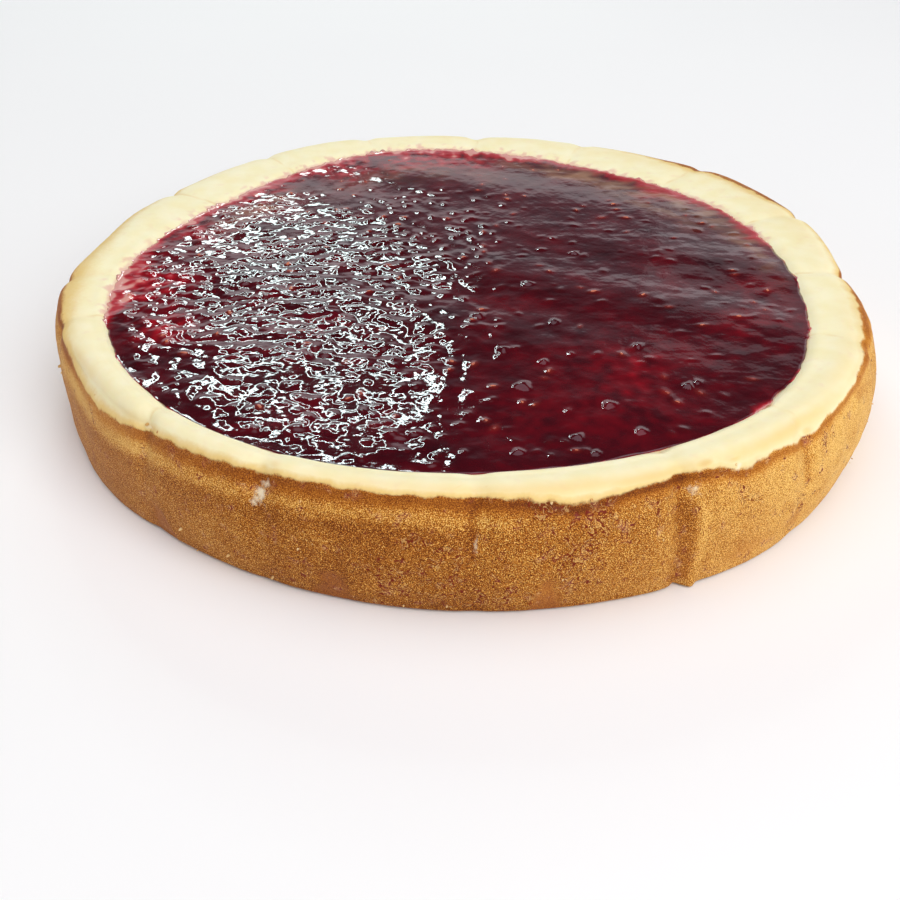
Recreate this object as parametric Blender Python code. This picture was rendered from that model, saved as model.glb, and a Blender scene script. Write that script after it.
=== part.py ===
"""Raspberry cheesecake: a whole baked cheese body and the jelly that lies in its dished top.

The cake stands on its flat underside, centred on the Z axis, with +Z up and its front
towards -Y. Both pieces are turned from a nominal outline and then made as uneven as a
baked cake is: sixteen portion marks cut into the rim and the side, a side that bulges more
here and less there, and a jelly edge that wanders nearer to the rim and further from it.
"""

import math

import bmesh
import bpy
from mathutils import Vector

# Driving dimensions of the baked body, in metres.
RIM_HEIGHT = 0.0365
SHOULDER_RADIUS = 0.1237
SHOULDER_HEIGHT = 0.0325
FOOT_RADIUS = 0.1246
FOOT_ROUND = 0.0022
SIDE_BELLY = 0.0029
CREST_RADIUS = 0.1165

# The dish that the jelly lies in.
JELLY_RADIUS = 0.1070
DISH_DEPTH = 0.0056
DISH_FLOOR_RADIUS = 0.0950
CRUMB_GAP = 0.0003

# The jelly.
JELLY_LEVEL = 0.0349
JELLY_EDGE_INSET = 0.0014
JELLY_EDGE_FACE = 0.0007
JELLY_EDGE_ROUND = 0.0060
RIPPLE_HEIGHT = 0.00025

# Columns of each portion, as angles away from its mark, and rows of each stretch of profile.
PORTIONS = 16
COLUMN_ANGLES = tuple(math.radians(a) for a in (-4.2, -2.0, -0.9, 0.0, 0.9, 2.0, 4.2, 11.25))
SIDE_ROWS = 7
SHOULDER_ROWS = 4
DISH_ROWS = 5

# Waves of the jelly's edge: how many lobes, how far they reach, and the angle of the first.
JELLY_LOBES = (
    (1, 0.0074, math.radians(-113)),
    (2, 0.0028, math.radians(163)),
    (3, 0.0025, math.radians(-67)),
    (4, 0.0015, math.radians(91)),
    (5, 0.0013, math.radians(163)),
)

# Where the rim stands further out or in: the angle, how wide the place is, and how far.
RIM_DENTS = (
    (math.radians(42), math.radians(20), 0.0034),
    (math.radians(1), math.radians(14), -0.0052),
    (math.radians(90), math.radians(5), -0.0022),
    (math.radians(118), math.radians(15), 0.0030),
    (math.radians(149), math.radians(9), -0.0010),
    (math.radians(194), math.radians(14), 0.0032),
)
DENT_SHARE_IN_FOOT = 0.15

# Portion marks, the front one first and then anticlockwise seen from above: how far the mark
# strays from an even sixteenth, how deep it is, and how far down the side it goes.
MARKS = (
    (math.radians(0.9), 0.0014, 0.55),
    (math.radians(2.1), 0.0024, 1.00),
    (math.radians(-0.8), 0.0017, 0.75),
    (math.radians(0.0), 0.0008, 0.50),
    (math.radians(-0.5), 0.0013, 0.50),
    (math.radians(-0.3), 0.0011, 0.60),
    (math.radians(1.2), 0.0011, 0.70),
    (math.radians(1.9), 0.0010, 0.50),
    (math.radians(0.0), 0.0014, 0.80),
    (math.radians(-1.4), 0.0011, 0.60),
    (math.radians(-4.0), 0.0010, 0.90),
    (math.radians(-4.2), 0.0012, 0.60),
    (math.radians(7.0), 0.0010, 0.60),
    (math.radians(-2.0), 0.0009, 0.50),
    (math.radians(3.6), 0.0015, 0.60),
    (math.radians(-1.2), 0.0012, 0.70),
)
MARK_HALF_WIDTH = math.radians(1.5)
MARK_SHARE_IN_RIM = 0.5

# Colours and finish of the two pieces.
BAKED_COLOUR = (0.60, 0.35, 0.13, 1.0)
BAKED_ROUGHNESS = 0.6
JELLY_COLOUR = (0.16, 0.006, 0.012, 1.0)
JELLY_ROUGHNESS = 0.1


def smooth_step(t):
    """Ease from 0 to 1 as t goes from 0 to 1, level at both ends."""
    t = min(1.0, max(0.0, t))
    return t * t * (3.0 - 2.0 * t)


def turn_between(angle, other):
    """The signed turn from other to angle, between -pi and pi."""
    return (angle - other + math.pi) % (2.0 * math.pi) - math.pi


def mark_angle(index):
    """The angle of a portion mark, round from +X."""
    even = -math.pi / 2.0 + index * 2.0 * math.pi / PORTIONS
    return even + MARKS[index][0]


def jelly_edge(angle):
    """How far from the axis the jelly's edge is at an angle."""
    radius = JELLY_RADIUS
    for lobes, reach, first in JELLY_LOBES:
        radius += reach * math.cos(lobes * angle - first)
    return radius


def rim_offset(angle, drop):
    """How far the side stands out at an angle, a share drop of the way down from the rim."""
    offset = 0.0
    for centre, width, reach in RIM_DENTS:
        offset += reach * math.exp(-((turn_between(angle, centre) / width) ** 2))
    return offset * (1.0 - (1.0 - DENT_SHARE_IN_FOOT) * smooth_step(1.6 * drop))


def mark_depth(angle, drop):
    """How deep the portion marks are at an angle, a share drop of the way down the side."""
    depth = 0.0
    for index, (_, deepest, reach) in enumerate(MARKS):
        away = turn_between(angle, mark_angle(index)) / MARK_HALF_WIDTH
        fade = 1.0 - 0.8 * smooth_step(drop / reach)
        depth += deepest * fade * math.exp(-away * away)
    return depth


def dish_height(radius):
    """Height of the baked body's top at a nominal radius inside its crest."""
    inward = (CREST_RADIUS - radius) / (CREST_RADIUS - DISH_FLOOR_RADIUS)
    return RIM_HEIGHT - DISH_DEPTH * smooth_step(inward)


def baked_profile():
    """Nominal outline of the baked body, from the middle of its underside to its top's."""
    points = [(0.0, 0.0), (0.5 * FOOT_RADIUS, 0.0), (FOOT_RADIUS - FOOT_ROUND, 0.0)]
    for step in range(1, 3):
        turn = step * math.pi / 6.0
        across = FOOT_RADIUS - FOOT_ROUND * (1.0 - math.sin(turn))
        points.append((across, FOOT_ROUND * (1.0 - math.cos(turn))))
    for row in range(SIDE_ROWS + 1):
        share = row / SIDE_ROWS
        straight = FOOT_RADIUS + share * (SHOULDER_RADIUS - FOOT_RADIUS)
        belly = 4.0 * share * (1.0 - share) * SIDE_BELLY
        height = FOOT_ROUND + share * (SHOULDER_HEIGHT - FOOT_ROUND)
        points.append((straight + belly, height))
    for row in range(1, SHOULDER_ROWS + 1):
        turn = row * math.pi / 2.0 / SHOULDER_ROWS
        across = CREST_RADIUS + (SHOULDER_RADIUS - CREST_RADIUS) * math.cos(turn)
        points.append((across, SHOULDER_HEIGHT + (RIM_HEIGHT - SHOULDER_HEIGHT) * math.sin(turn)))
    for row in range(1, DISH_ROWS + 1):
        across = CREST_RADIUS + row / DISH_ROWS * (DISH_FLOOR_RADIUS - CREST_RADIUS)
        points.append((across, dish_height(across)))
    floor = RIM_HEIGHT - DISH_DEPTH
    points += [(0.5 * DISH_FLOOR_RADIUS, floor), (0.0, floor)]
    return points


def jelly_profile():
    """Nominal outline of the jelly, from the middle of its underside to its top's."""
    floor = RIM_HEIGHT - DISH_DEPTH + CRUMB_GAP
    edge = JELLY_RADIUS - JELLY_EDGE_INSET
    points = [(0.0, floor), (0.5 * DISH_FLOOR_RADIUS, floor)]
    for row in range(DISH_ROWS, 0, -1):
        across = CREST_RADIUS + row / DISH_ROWS * (DISH_FLOOR_RADIUS - CREST_RADIUS)
        if across < edge:
            points.append((across, dish_height(across) + CRUMB_GAP))
    points.append((edge, dish_height(edge) + CRUMB_GAP))
    points.append((edge, dish_height(edge) + CRUMB_GAP + JELLY_EDGE_FACE))
    face_top = points[-1][1]
    points.append((edge - 0.3 * JELLY_EDGE_ROUND, face_top + 0.7 * (JELLY_LEVEL - face_top)))
    points.append((edge - JELLY_EDGE_ROUND, JELLY_LEVEL))
    for share in (0.8, 0.6, 0.4, 0.2, 0.0):
        points.append((share * JELLY_RADIUS, JELLY_LEVEL))
    return points


def turned(profile):
    """Turn a profile once round Z, in even columns."""
    mesh = bmesh.new()
    verts = [mesh.verts.new((radius, 0.0, height)) for radius, height in profile]
    edges = [mesh.edges.new(pair) for pair in zip(verts, verts[1:])]
    bmesh.ops.spin(
        mesh,
        geom=verts + edges,
        cent=(0.0, 0.0, 0.0),
        axis=(0.0, 0.0, 1.0),
        angle=2.0 * math.pi,
        steps=PORTIONS * len(COLUMN_ANGLES),
        use_merge=True,
    )
    bmesh.ops.remove_doubles(mesh, verts=mesh.verts, dist=1e-6)
    bmesh.ops.recalc_face_normals(mesh, faces=mesh.faces)
    return mesh


def column_angle(even_angle):
    """Move an even column to its place beside the portion marks, closer together there."""
    step = 2.0 * math.pi / (PORTIONS * len(COLUMN_ANGLES))
    number = round((even_angle + math.pi / 2.0) / step) + COLUMN_ANGLES.index(0.0)
    portion, column = divmod(number, len(COLUMN_ANGLES))
    portion %= PORTIONS
    if COLUMN_ANGLES[column] < math.pi / PORTIONS:
        return mark_angle(portion) + COLUMN_ANGLES[column]
    gap = turn_between(mark_angle((portion + 1) % PORTIONS), mark_angle(portion))
    return mark_angle(portion) + gap / 2.0


def uneven_place(radius, angle, height):
    """Where a point of the nominal cake lies on the uneven one."""
    edge = jelly_edge(angle)
    if radius <= JELLY_RADIUS:
        return radius * edge / JELLY_RADIUS, height
    shoulder = SHOULDER_RADIUS + rim_offset(angle, 0.0)
    band = (radius - JELLY_RADIUS) / (SHOULDER_RADIUS - JELLY_RADIUS)
    if height < SHOULDER_HEIGHT - 1e-6:
        drop = 1.0 - height / SHOULDER_HEIGHT
        out = radius + rim_offset(angle, drop) - mark_depth(angle, drop)
        return out, height
    out = edge + band * (shoulder - edge) - band * mark_depth(angle, 0.0)
    return out, height - MARK_SHARE_IN_RIM * mark_depth(angle, 0.0)


def make_uneven(mesh):
    """Move each point of a turned mesh from the nominal cake to the uneven one."""
    for vert in mesh.verts:
        radius = math.hypot(vert.co.x, vert.co.y)
        if radius < 1e-6:
            continue
        angle = column_angle(math.atan2(vert.co.y, vert.co.x))
        out, height = uneven_place(radius, angle, vert.co.z)
        vert.co = (out * math.cos(angle), out * math.sin(angle), height)


def middle(mesh):
    """The middle of a mesh's extent, seen from above."""
    across = [vert.co.x for vert in mesh.verts]
    along = [vert.co.y for vert in mesh.verts]
    return Vector(((min(across) + max(across)) / 2.0, (min(along) + max(along)) / 2.0, 0.0))


def ripple(x, y):
    """Height of the jelly's slow waves at a place on its top."""
    long_wave = math.sin(95.0 * x + 40.0 * y + 0.7) * math.cos(70.0 * y - 30.0 * x)
    short_wave = math.sin(170.0 * y + 60.0 * x + 1.9)
    return RIPPLE_HEIGHT * (long_wave + 0.5 * short_wave)


def ripple_top(mesh):
    """Give the jelly's top, and nothing below it, its slow waves."""
    for vert in mesh.verts:
        if vert.co.z > JELLY_LEVEL - 1e-6:
            vert.co.z += ripple(vert.co.x, vert.co.y)


def finish(name, colour, roughness):
    """A material with one colour, not metallic."""
    material = bpy.data.materials.new(name)
    material.use_nodes = True
    shader = material.node_tree.nodes["Principled BSDF"]
    shader.inputs["Base Color"].default_value = colour
    shader.inputs["Roughness"].default_value = roughness
    shader.inputs["Metallic"].default_value = 0.0
    material.diffuse_color = colour
    return material


def place(name, mesh, material):
    """Put a finished mesh in the scene as one named, smooth-shaded piece."""
    data = bpy.data.meshes.new(name)
    mesh.to_mesh(data)
    mesh.free()
    data.materials.append(material)
    data.shade_smooth()
    piece = bpy.data.objects.new(name, data)
    bpy.context.scene.collection.objects.link(piece)
    return piece


def baked_body():
    """The baked body: flat underside, bulging side, rounded rim and dished top."""
    mesh = turned(baked_profile())
    make_uneven(mesh)
    return mesh


def jelly():
    """The raspberry jelly that lies in the dish, just clear of the baked body."""
    mesh = turned(jelly_profile())
    ripple_top(mesh)
    make_uneven(mesh)
    return mesh


def main():
    """Clear the scene and make the two pieces."""
    for old in list(bpy.data.objects):
        bpy.data.objects.remove(old, do_unlink=True)
    body = baked_body()
    topping = jelly()
    off_axis = middle(body)
    for mesh in (body, topping):
        bmesh.ops.translate(mesh, verts=mesh.verts, vec=-off_axis)
    place("cheesecake", body, finish("baked_cheese", BAKED_COLOUR, BAKED_ROUGHNESS))
    place("raspberry_topping", topping, finish("raspberry_jelly", JELLY_COLOUR, JELLY_ROUGHNESS))


main()
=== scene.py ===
"""Raspberry cheesecake: the looks of a whole baked cheesecake with jelly in its dished top.

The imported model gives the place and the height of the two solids. This script makes them again
on fine grids, by the same outline, and adds what a baker would see: the browned side with its
grain, cracks and rubbed places, the pale rim, the portion marks, and a glossy jelly whose skin
is full of ridges and seeds. Lengths are in metres unless a name ends in _mm, and angles are in
degrees round from +X, with the front of the cake at -90.
"""

import itertools
import logging
import math
from dataclasses import dataclass
from enum import Enum

import bmesh
import bpy
import numpy as np
from mathutils import Matrix, Vector


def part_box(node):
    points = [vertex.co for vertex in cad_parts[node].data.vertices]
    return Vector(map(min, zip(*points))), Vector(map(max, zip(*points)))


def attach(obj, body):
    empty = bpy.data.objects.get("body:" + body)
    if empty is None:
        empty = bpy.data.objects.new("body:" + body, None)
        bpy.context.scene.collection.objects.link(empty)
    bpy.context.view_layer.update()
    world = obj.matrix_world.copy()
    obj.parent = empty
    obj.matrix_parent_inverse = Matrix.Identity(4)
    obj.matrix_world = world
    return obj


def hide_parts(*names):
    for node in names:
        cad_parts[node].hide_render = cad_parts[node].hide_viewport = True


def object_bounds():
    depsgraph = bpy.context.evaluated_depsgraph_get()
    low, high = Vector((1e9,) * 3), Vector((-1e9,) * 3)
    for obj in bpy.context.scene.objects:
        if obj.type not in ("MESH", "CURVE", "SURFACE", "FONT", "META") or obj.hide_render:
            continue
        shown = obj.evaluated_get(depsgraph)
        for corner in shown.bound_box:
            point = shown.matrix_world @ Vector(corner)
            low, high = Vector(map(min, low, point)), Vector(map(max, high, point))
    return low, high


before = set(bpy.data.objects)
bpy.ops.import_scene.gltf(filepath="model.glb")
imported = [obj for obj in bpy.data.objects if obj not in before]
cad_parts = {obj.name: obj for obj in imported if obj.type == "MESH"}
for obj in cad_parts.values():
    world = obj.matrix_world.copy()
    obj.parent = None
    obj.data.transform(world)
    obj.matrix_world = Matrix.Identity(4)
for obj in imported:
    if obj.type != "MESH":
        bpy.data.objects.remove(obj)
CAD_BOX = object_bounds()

LOG = logging.getLogger("cheesecake")
MM = 0.001
BODY = "root"

# A colour ramp: places from 0 to 1 and their sRGB colours.
Stops = tuple[tuple[float, int], ...]

# Output sockets of a node tree by what they give.
Sockets = dict[str, bpy.types.NodeSocket]


class Slot(Enum):
    """The record's material slots."""

    BAKED = "baked_cheese"
    JELLY = "raspberry_jelly"
    SEED = "raspberry_seed"


# ---------------------------------------------------------------- helpers


def linear(colour: int) -> tuple[float, float, float, float]:
    """Turn an sRGB colour, written as 0xRRGGBB, into linear red, green, blue and alpha."""
    parts = [(colour >> shift & 255) / 255.0 for shift in (16, 8, 0)]
    return (*(p / 12.92 if p <= 0.04045 else ((p + 0.055) / 1.055) ** 2.4 for p in parts), 1.0)


def smooth_step(t: np.ndarray | float) -> np.ndarray:
    """Ease from 0 to 1 as t goes from 0 to 1, level at both ends."""
    t = np.clip(t, 0.0, 1.0)
    return t * t * (3.0 - 2.0 * t)


def hump(away: np.ndarray | float, half_width: float) -> np.ndarray:
    """A smooth hump that is 1 where away is 0 and fades over half_width."""
    return np.exp(-((away / half_width) ** 2))


def turn_between(angle: np.ndarray, other: float) -> np.ndarray:
    """The signed turn from other to angle, between -180 and 180 degrees."""
    return (angle - other + 180.0) % 360.0 - 180.0


def add_node(
    tree: bpy.types.NodeTree,
    kind: str,
    inputs: dict | None = None,
    out: int | str = 0,
    **settings: object,
) -> bpy.types.NodeSocket:
    """Add a node with its settings, and fill or link its inputs.

    Args:
        tree: The tree that the node goes into.
        kind: The node's type.
        inputs: Input name or number, and its value or the output socket that feeds it.
        out: Name or number of the output socket to give back.
        settings: The node's properties; stops is a colour ramp's places and colours.

    Returns:
        The node's output socket, or its first input where it has no output.
    """
    node = tree.nodes.new(kind)
    stops = settings.pop("stops", ())
    for name, value in settings.items():
        setattr(node, name, value)
    for number, (place, colour) in enumerate(stops):
        if number > 1:
            node.color_ramp.elements.new(place)
        node.color_ramp.elements[number].position = place
        node.color_ramp.elements[number].color = linear(colour)
    for name, value in (inputs or {}).items():
        if isinstance(value, bpy.types.NodeSocket):
            tree.links.new(value, node.inputs[name])
        else:
            node.inputs[name].default_value = value
    return node.outputs[out] if len(node.outputs) else node.inputs[0]


def new_material(name: str) -> tuple[bpy.types.Material, bpy.types.NodeTree, bpy.types.Node]:
    """Make a material with a bare Principled shader.

    Args:
        name: The material's name.

    Returns:
        The material, its node tree and the shader.
    """
    material = bpy.data.materials.new(name)
    material.use_nodes = True
    tree = material.node_tree
    return material, tree, tree.nodes["Principled BSDF"]


def new_piece(
    name: str, points: np.ndarray, faces: list, material: bpy.types.Material
) -> bpy.types.Object:
    """Make a smooth closed mesh object.

    Args:
        name: The piece's name.
        points: One row of x, y and z for each vertex.
        faces: Vertex numbers of each face, anticlockwise seen from outside.
        material: The finish.

    Returns:
        The object, which sits at the origin.
    """
    mesh = bpy.data.meshes.new(name)
    mesh.from_pydata(points.tolist(), [], faces)
    mesh.validate()
    mesh.shade_smooth()
    mesh.materials.append(material)
    piece = bpy.data.objects.new(name, mesh)
    bpy.context.scene.collection.objects.link(piece)
    return piece


def put_attribute(piece: bpy.types.Object, name: str, values: np.ndarray) -> None:
    """Store one number for each vertex, for the material to read.

    Args:
        piece: The piece.
        name: The name by which the material asks for the numbers.
        values: The numbers in the order of the vertices; vertices past the last one get 0.
    """
    layer = piece.data.attributes.new(name, "FLOAT", "POINT")
    stored = np.zeros(len(piece.data.vertices), np.float32)
    stored[: values.size] = values.ravel()
    layer.data.foreach_set("value", stored)


def ring_faces(rings: int, columns: int) -> list[tuple[int, ...]]:
    """Quads between closed rings of vertices, outward where the rings climb an outer wall.

    Args:
        rings: How many rings there are.
        columns: How many vertices each ring has.

    Returns:
        Four vertex numbers for each quad.
    """
    faces = []
    for ring in range(rings - 1):
        low = ring * columns
        high = low + columns
        for column in range(columns):
            after = (column + 1) % columns
            faces.append((low + column, low + after, high + after, high + column))
    return faces


def inside(points: np.ndarray, margin: float = 0.0) -> np.ndarray:
    """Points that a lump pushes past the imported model's box, brought back to a margin inside it."""
    low, high = (np.array(corner) for corner in CAD_BOX)
    return np.clip(points, low + margin, high - margin)


class Relief:
    """Smooth uneven relief in space, the same in every run for one seed."""

    slots: int = 256
    strength: float = 1.8

    def __init__(self, seed: int) -> None:
        """Shuffle the lattice and give each of its corners a slope.

        Args:
            seed: A number that makes this relief differ from the others.
        """
        rng = np.random.default_rng(seed)
        self._order = rng.permutation(self.slots)
        slopes = rng.normal(size=(self.slots, 3))
        self._slopes = slopes / np.linalg.norm(slopes, axis=1, keepdims=True)

    def at(self, points: np.ndarray, size: float) -> np.ndarray:
        """Relief with features of one size, about -1 to 1.

        Args:
            points: Places, with x, y and z on the last axis.
            size: How far apart the features are.

        Returns:
            One number for each place.
        """
        place = points.reshape(-1, 3) / size
        cell = np.floor(place).astype(int)
        within = place - cell
        ease = within**3 * (within * (within * 6.0 - 15.0) + 10.0)
        total = np.zeros(len(place))
        for corner in itertools.product((0, 1), repeat=3):
            slot = np.zeros(len(place), int)
            for axis in range(3):
                slot = self._order[(slot + cell[:, axis] + corner[axis]) % self.slots]
            share = np.prod(np.where(corner, ease, 1.0 - ease), axis=1)
            total += share * np.sum(self._slopes[slot] * (within - corner), axis=1)
        return self.strength * total.reshape(points.shape[:-1])


# ---------------------------------------------------------------- the cake's outline

# Waves of the jelly's edge: how many lobes, how far they reach in mm, and the first one's angle.
JELLY_LOBES = ((1, 7.4, -113.0), (2, 2.8, 163.0), (3, 2.5, -67.0), (4, 1.5, 91.0), (5, 1.3, 163.0))

# Where the rim stands further out or in: the angle, how wide the place is, and how far in mm.
RIM_DENTS = (
    (42.0, 20.0, 3.4),
    (1.0, 14.0, -5.2),
    (90.0, 5.0, -2.2),
    (118.0, 15.0, 3.0),
    (149.0, 9.0, -1.0),
    (194.0, 14.0, 3.2),
)

# Portion marks, the front one first and then anticlockwise: stray angle, depth in mm, reach.
MARKS = (
    (0.9, 1.4, 0.55),
    (2.1, 2.4, 1.00),
    (-0.8, 1.7, 0.75),
    (0.0, 0.8, 0.50),
    (-0.5, 1.3, 0.50),
    (-0.3, 1.1, 0.60),
    (1.2, 1.1, 0.70),
    (1.9, 1.0, 0.50),
    (0.0, 1.4, 0.80),
    (-1.4, 1.1, 0.60),
    (-4.0, 1.0, 0.90),
    (-4.2, 1.2, 0.60),
    (7.0, 1.0, 0.60),
    (-2.0, 0.9, 0.50),
    (3.6, 1.5, 0.60),
    (-1.2, 1.2, 0.70),
)

# Where the jelly smeared out thin and pink over the curd: angle, half width, mm.
SMEARS = (
    (-178.0, 9.0, 3.4),
    (-164.0, 7.0, 3.0),
    (-47.0, 3.0, 1.6),
    (-22.0, 8.0, 0.8),
    (19.0, 7.0, 3.6),
    (36.0, 7.0, 4.2),
    (45.0, 4.0, 7.0),
    (54.0, 9.0, 3.4),
    (67.0, 6.0, 2.6),
    (78.0, 7.0, 3.2),
    (98.0, 12.0, 4.2),
    (122.0, 12.0, 3.6),
    (140.0, 8.0, 4.4),
    (158.0, 10.0, 3.0),
)


@dataclass(frozen=True)
class CakeForm:
    """The uneven outline of the cake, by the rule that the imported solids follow."""

    rim_height: float
    shoulder_radius: float = 0.1237
    shoulder_height: float = 0.0325
    foot_radius: float = 0.1246
    foot_round: float = 0.0022
    side_belly: float = 0.0029
    crest_radius: float = 0.1165
    jelly_radius: float = 0.1070
    dish_depth: float = 0.0056
    dish_floor_radius: float = 0.0950
    jelly_level: float = 0.0349
    crumb_gap: float = 0.0003
    mark_half_degrees: float = 1.5
    mark_fade: float = 0.8
    mark_sink: float = 0.5
    mark_sink_height: float = 6.0 * MM
    dent_share_in_foot: float = 0.15
    dent_fade_rate: float = 1.6
    roll_radius: float = 0.1086
    roll_half_width: float = 0.0028
    roll_lift: float = 0.00095
    extent_columns: int = 2880
    extent_rows: int = 24

    def mark_angles(self) -> np.ndarray:
        """The angle of each portion mark."""
        even = -90.0 + np.arange(len(MARKS)) * 360.0 / len(MARKS)
        return even + np.array([stray for stray, _, _ in MARKS])

    def degree_mm(self) -> float:
        """How many mm of the side one degree spans."""
        return self.foot_radius / MM * math.pi / 180.0

    def side_radius(self, share: np.ndarray | float) -> np.ndarray | float:
        """Nominal distance from the axis a share of the way up the bulging side."""
        straight = self.foot_radius + share * (self.shoulder_radius - self.foot_radius)
        return straight + 4.0 * share * (1.0 - share) * self.side_belly

    def jelly_edge(self, angle: np.ndarray) -> np.ndarray:
        """The wavy line where the jelly ends.

        Args:
            angle: Degrees round from +X.

        Returns:
            Distance from the axis at each angle.
        """
        radius = np.full(np.shape(angle), self.jelly_radius)
        for lobes, reach, first in JELLY_LOBES:
            radius = radius + reach * MM * np.cos(np.radians(lobes * angle - first))
        return radius

    def smear(self, angle: np.ndarray) -> np.ndarray:
        """How wide the thin pink smear along the jelly's edge is at an angle."""
        return sum(reach * MM * hump(turn_between(angle, at), wide) for at, wide, reach in SMEARS)

    def rim_offset(self, angle: np.ndarray, drop: np.ndarray | float) -> np.ndarray:
        """How far the side stands out of the even round.

        Args:
            angle: Degrees round from +X.
            drop: Share of the way down the side, 0 at the rim.

        Returns:
            Distance outward at each place.
        """
        offset = sum(reach * MM * hump(turn_between(angle, at), wide) for at, wide, reach in RIM_DENTS)
        fade = (1.0 - self.dent_share_in_foot) * smooth_step(self.dent_fade_rate * drop)
        return offset * (1.0 - fade)

    def mark_depth(self, angle: np.ndarray, drop: np.ndarray | float) -> np.ndarray:
        """How deep the portion marks are.

        Args:
            angle: Degrees round from +X.
            drop: Share of the way down the side, 0 at the rim.

        Returns:
            Depth at each place.
        """
        depth = np.zeros(np.broadcast_shapes(np.shape(angle), np.shape(drop)))
        for at, (_, deepest, reach) in zip(self.mark_angles(), MARKS):
            fade = 1.0 - self.mark_fade * smooth_step(drop / reach)
            depth = depth + deepest * MM * fade * hump(turn_between(angle, at), self.mark_half_degrees)
        return depth

    def dish_height(self, radius: np.ndarray) -> np.ndarray:
        """Height of the baked top inside the rim's crest, with the rim's full roll.

        Args:
            radius: Nominal distance from the axis.

        Returns:
            Height at each distance.
        """
        inward = (self.crest_radius - radius) / (self.crest_radius - self.dish_floor_radius)
        roll = self.roll_lift * hump(radius - self.roll_radius, self.roll_half_width)
        return self.rim_height - self.dish_depth * smooth_step(inward) + roll

    def top_height(self, out: np.ndarray, angle: np.ndarray) -> np.ndarray:
        """Height of the baked top on the uneven cake.

        Args:
            out: Real distance from the axis.
            angle: Degrees round from +X.

        Returns:
            Height at each place.
        """
        edge = self.jelly_edge(angle)
        shoulder = self.shoulder_radius + self.rim_offset(angle, 0.0)
        band = (out - edge) / (shoulder - edge)
        beyond = self.jelly_radius + band * (self.shoulder_radius - self.jelly_radius)
        nominal = np.where(out <= edge, out * self.jelly_radius / edge, beyond)
        return self.dish_height(nominal)

    def place(
        self, radius: np.ndarray, angle: np.ndarray, height: np.ndarray
    ) -> tuple[np.ndarray, np.ndarray]:
        """Where a point of the nominal outline lies on the uneven cake.

        Args:
            radius: Nominal distance from the axis.
            angle: Degrees round from +X.
            height: Nominal height.

        Returns:
            Real distance from the axis, and real height.
        """
        edge = self.jelly_edge(angle)
        drop = np.clip(1.0 - height / self.shoulder_height, 0.0, 1.0)
        side = radius + self.rim_offset(angle, drop) - self.mark_depth(angle, drop)
        shoulder = self.shoulder_radius + self.rim_offset(angle, 0.0)
        band = (radius - self.jelly_radius) / (self.shoulder_radius - self.jelly_radius)
        notch = self.mark_depth(angle, 0.0)
        rim = edge + band * (shoulder - edge) - band * notch
        out = np.where(height < self.shoulder_height, side, rim)
        out = np.where(radius <= self.jelly_radius, radius * edge / self.jelly_radius, out)
        low = self.shoulder_height - self.mark_sink_height
        sunk = self.mark_sink * notch * smooth_step((height - low) / (self.shoulder_height - low))
        return out, height - np.where(radius > self.jelly_radius, sunk, 0.0)

    def off_axis(self) -> np.ndarray:
        """The middle of the outline's extent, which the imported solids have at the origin.

        Returns:
            x, y and 0.
        """
        angle = np.linspace(0.0, 360.0, self.extent_columns, endpoint=False)
        widest = np.zeros(len(angle))
        for share in np.linspace(0.0, 1.0, self.extent_rows):
            height = self.foot_round + share * (self.shoulder_height - self.foot_round)
            widest = np.maximum(widest, self.place(self.side_radius(share), angle, height)[0])
        across = widest * np.cos(np.radians(angle))
        along = widest * np.sin(np.radians(angle))
        return np.array([across.max() + across.min(), along.max() + along.min(), 0.0]) / 2.0


# ---------------------------------------------------------------- finishes


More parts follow.
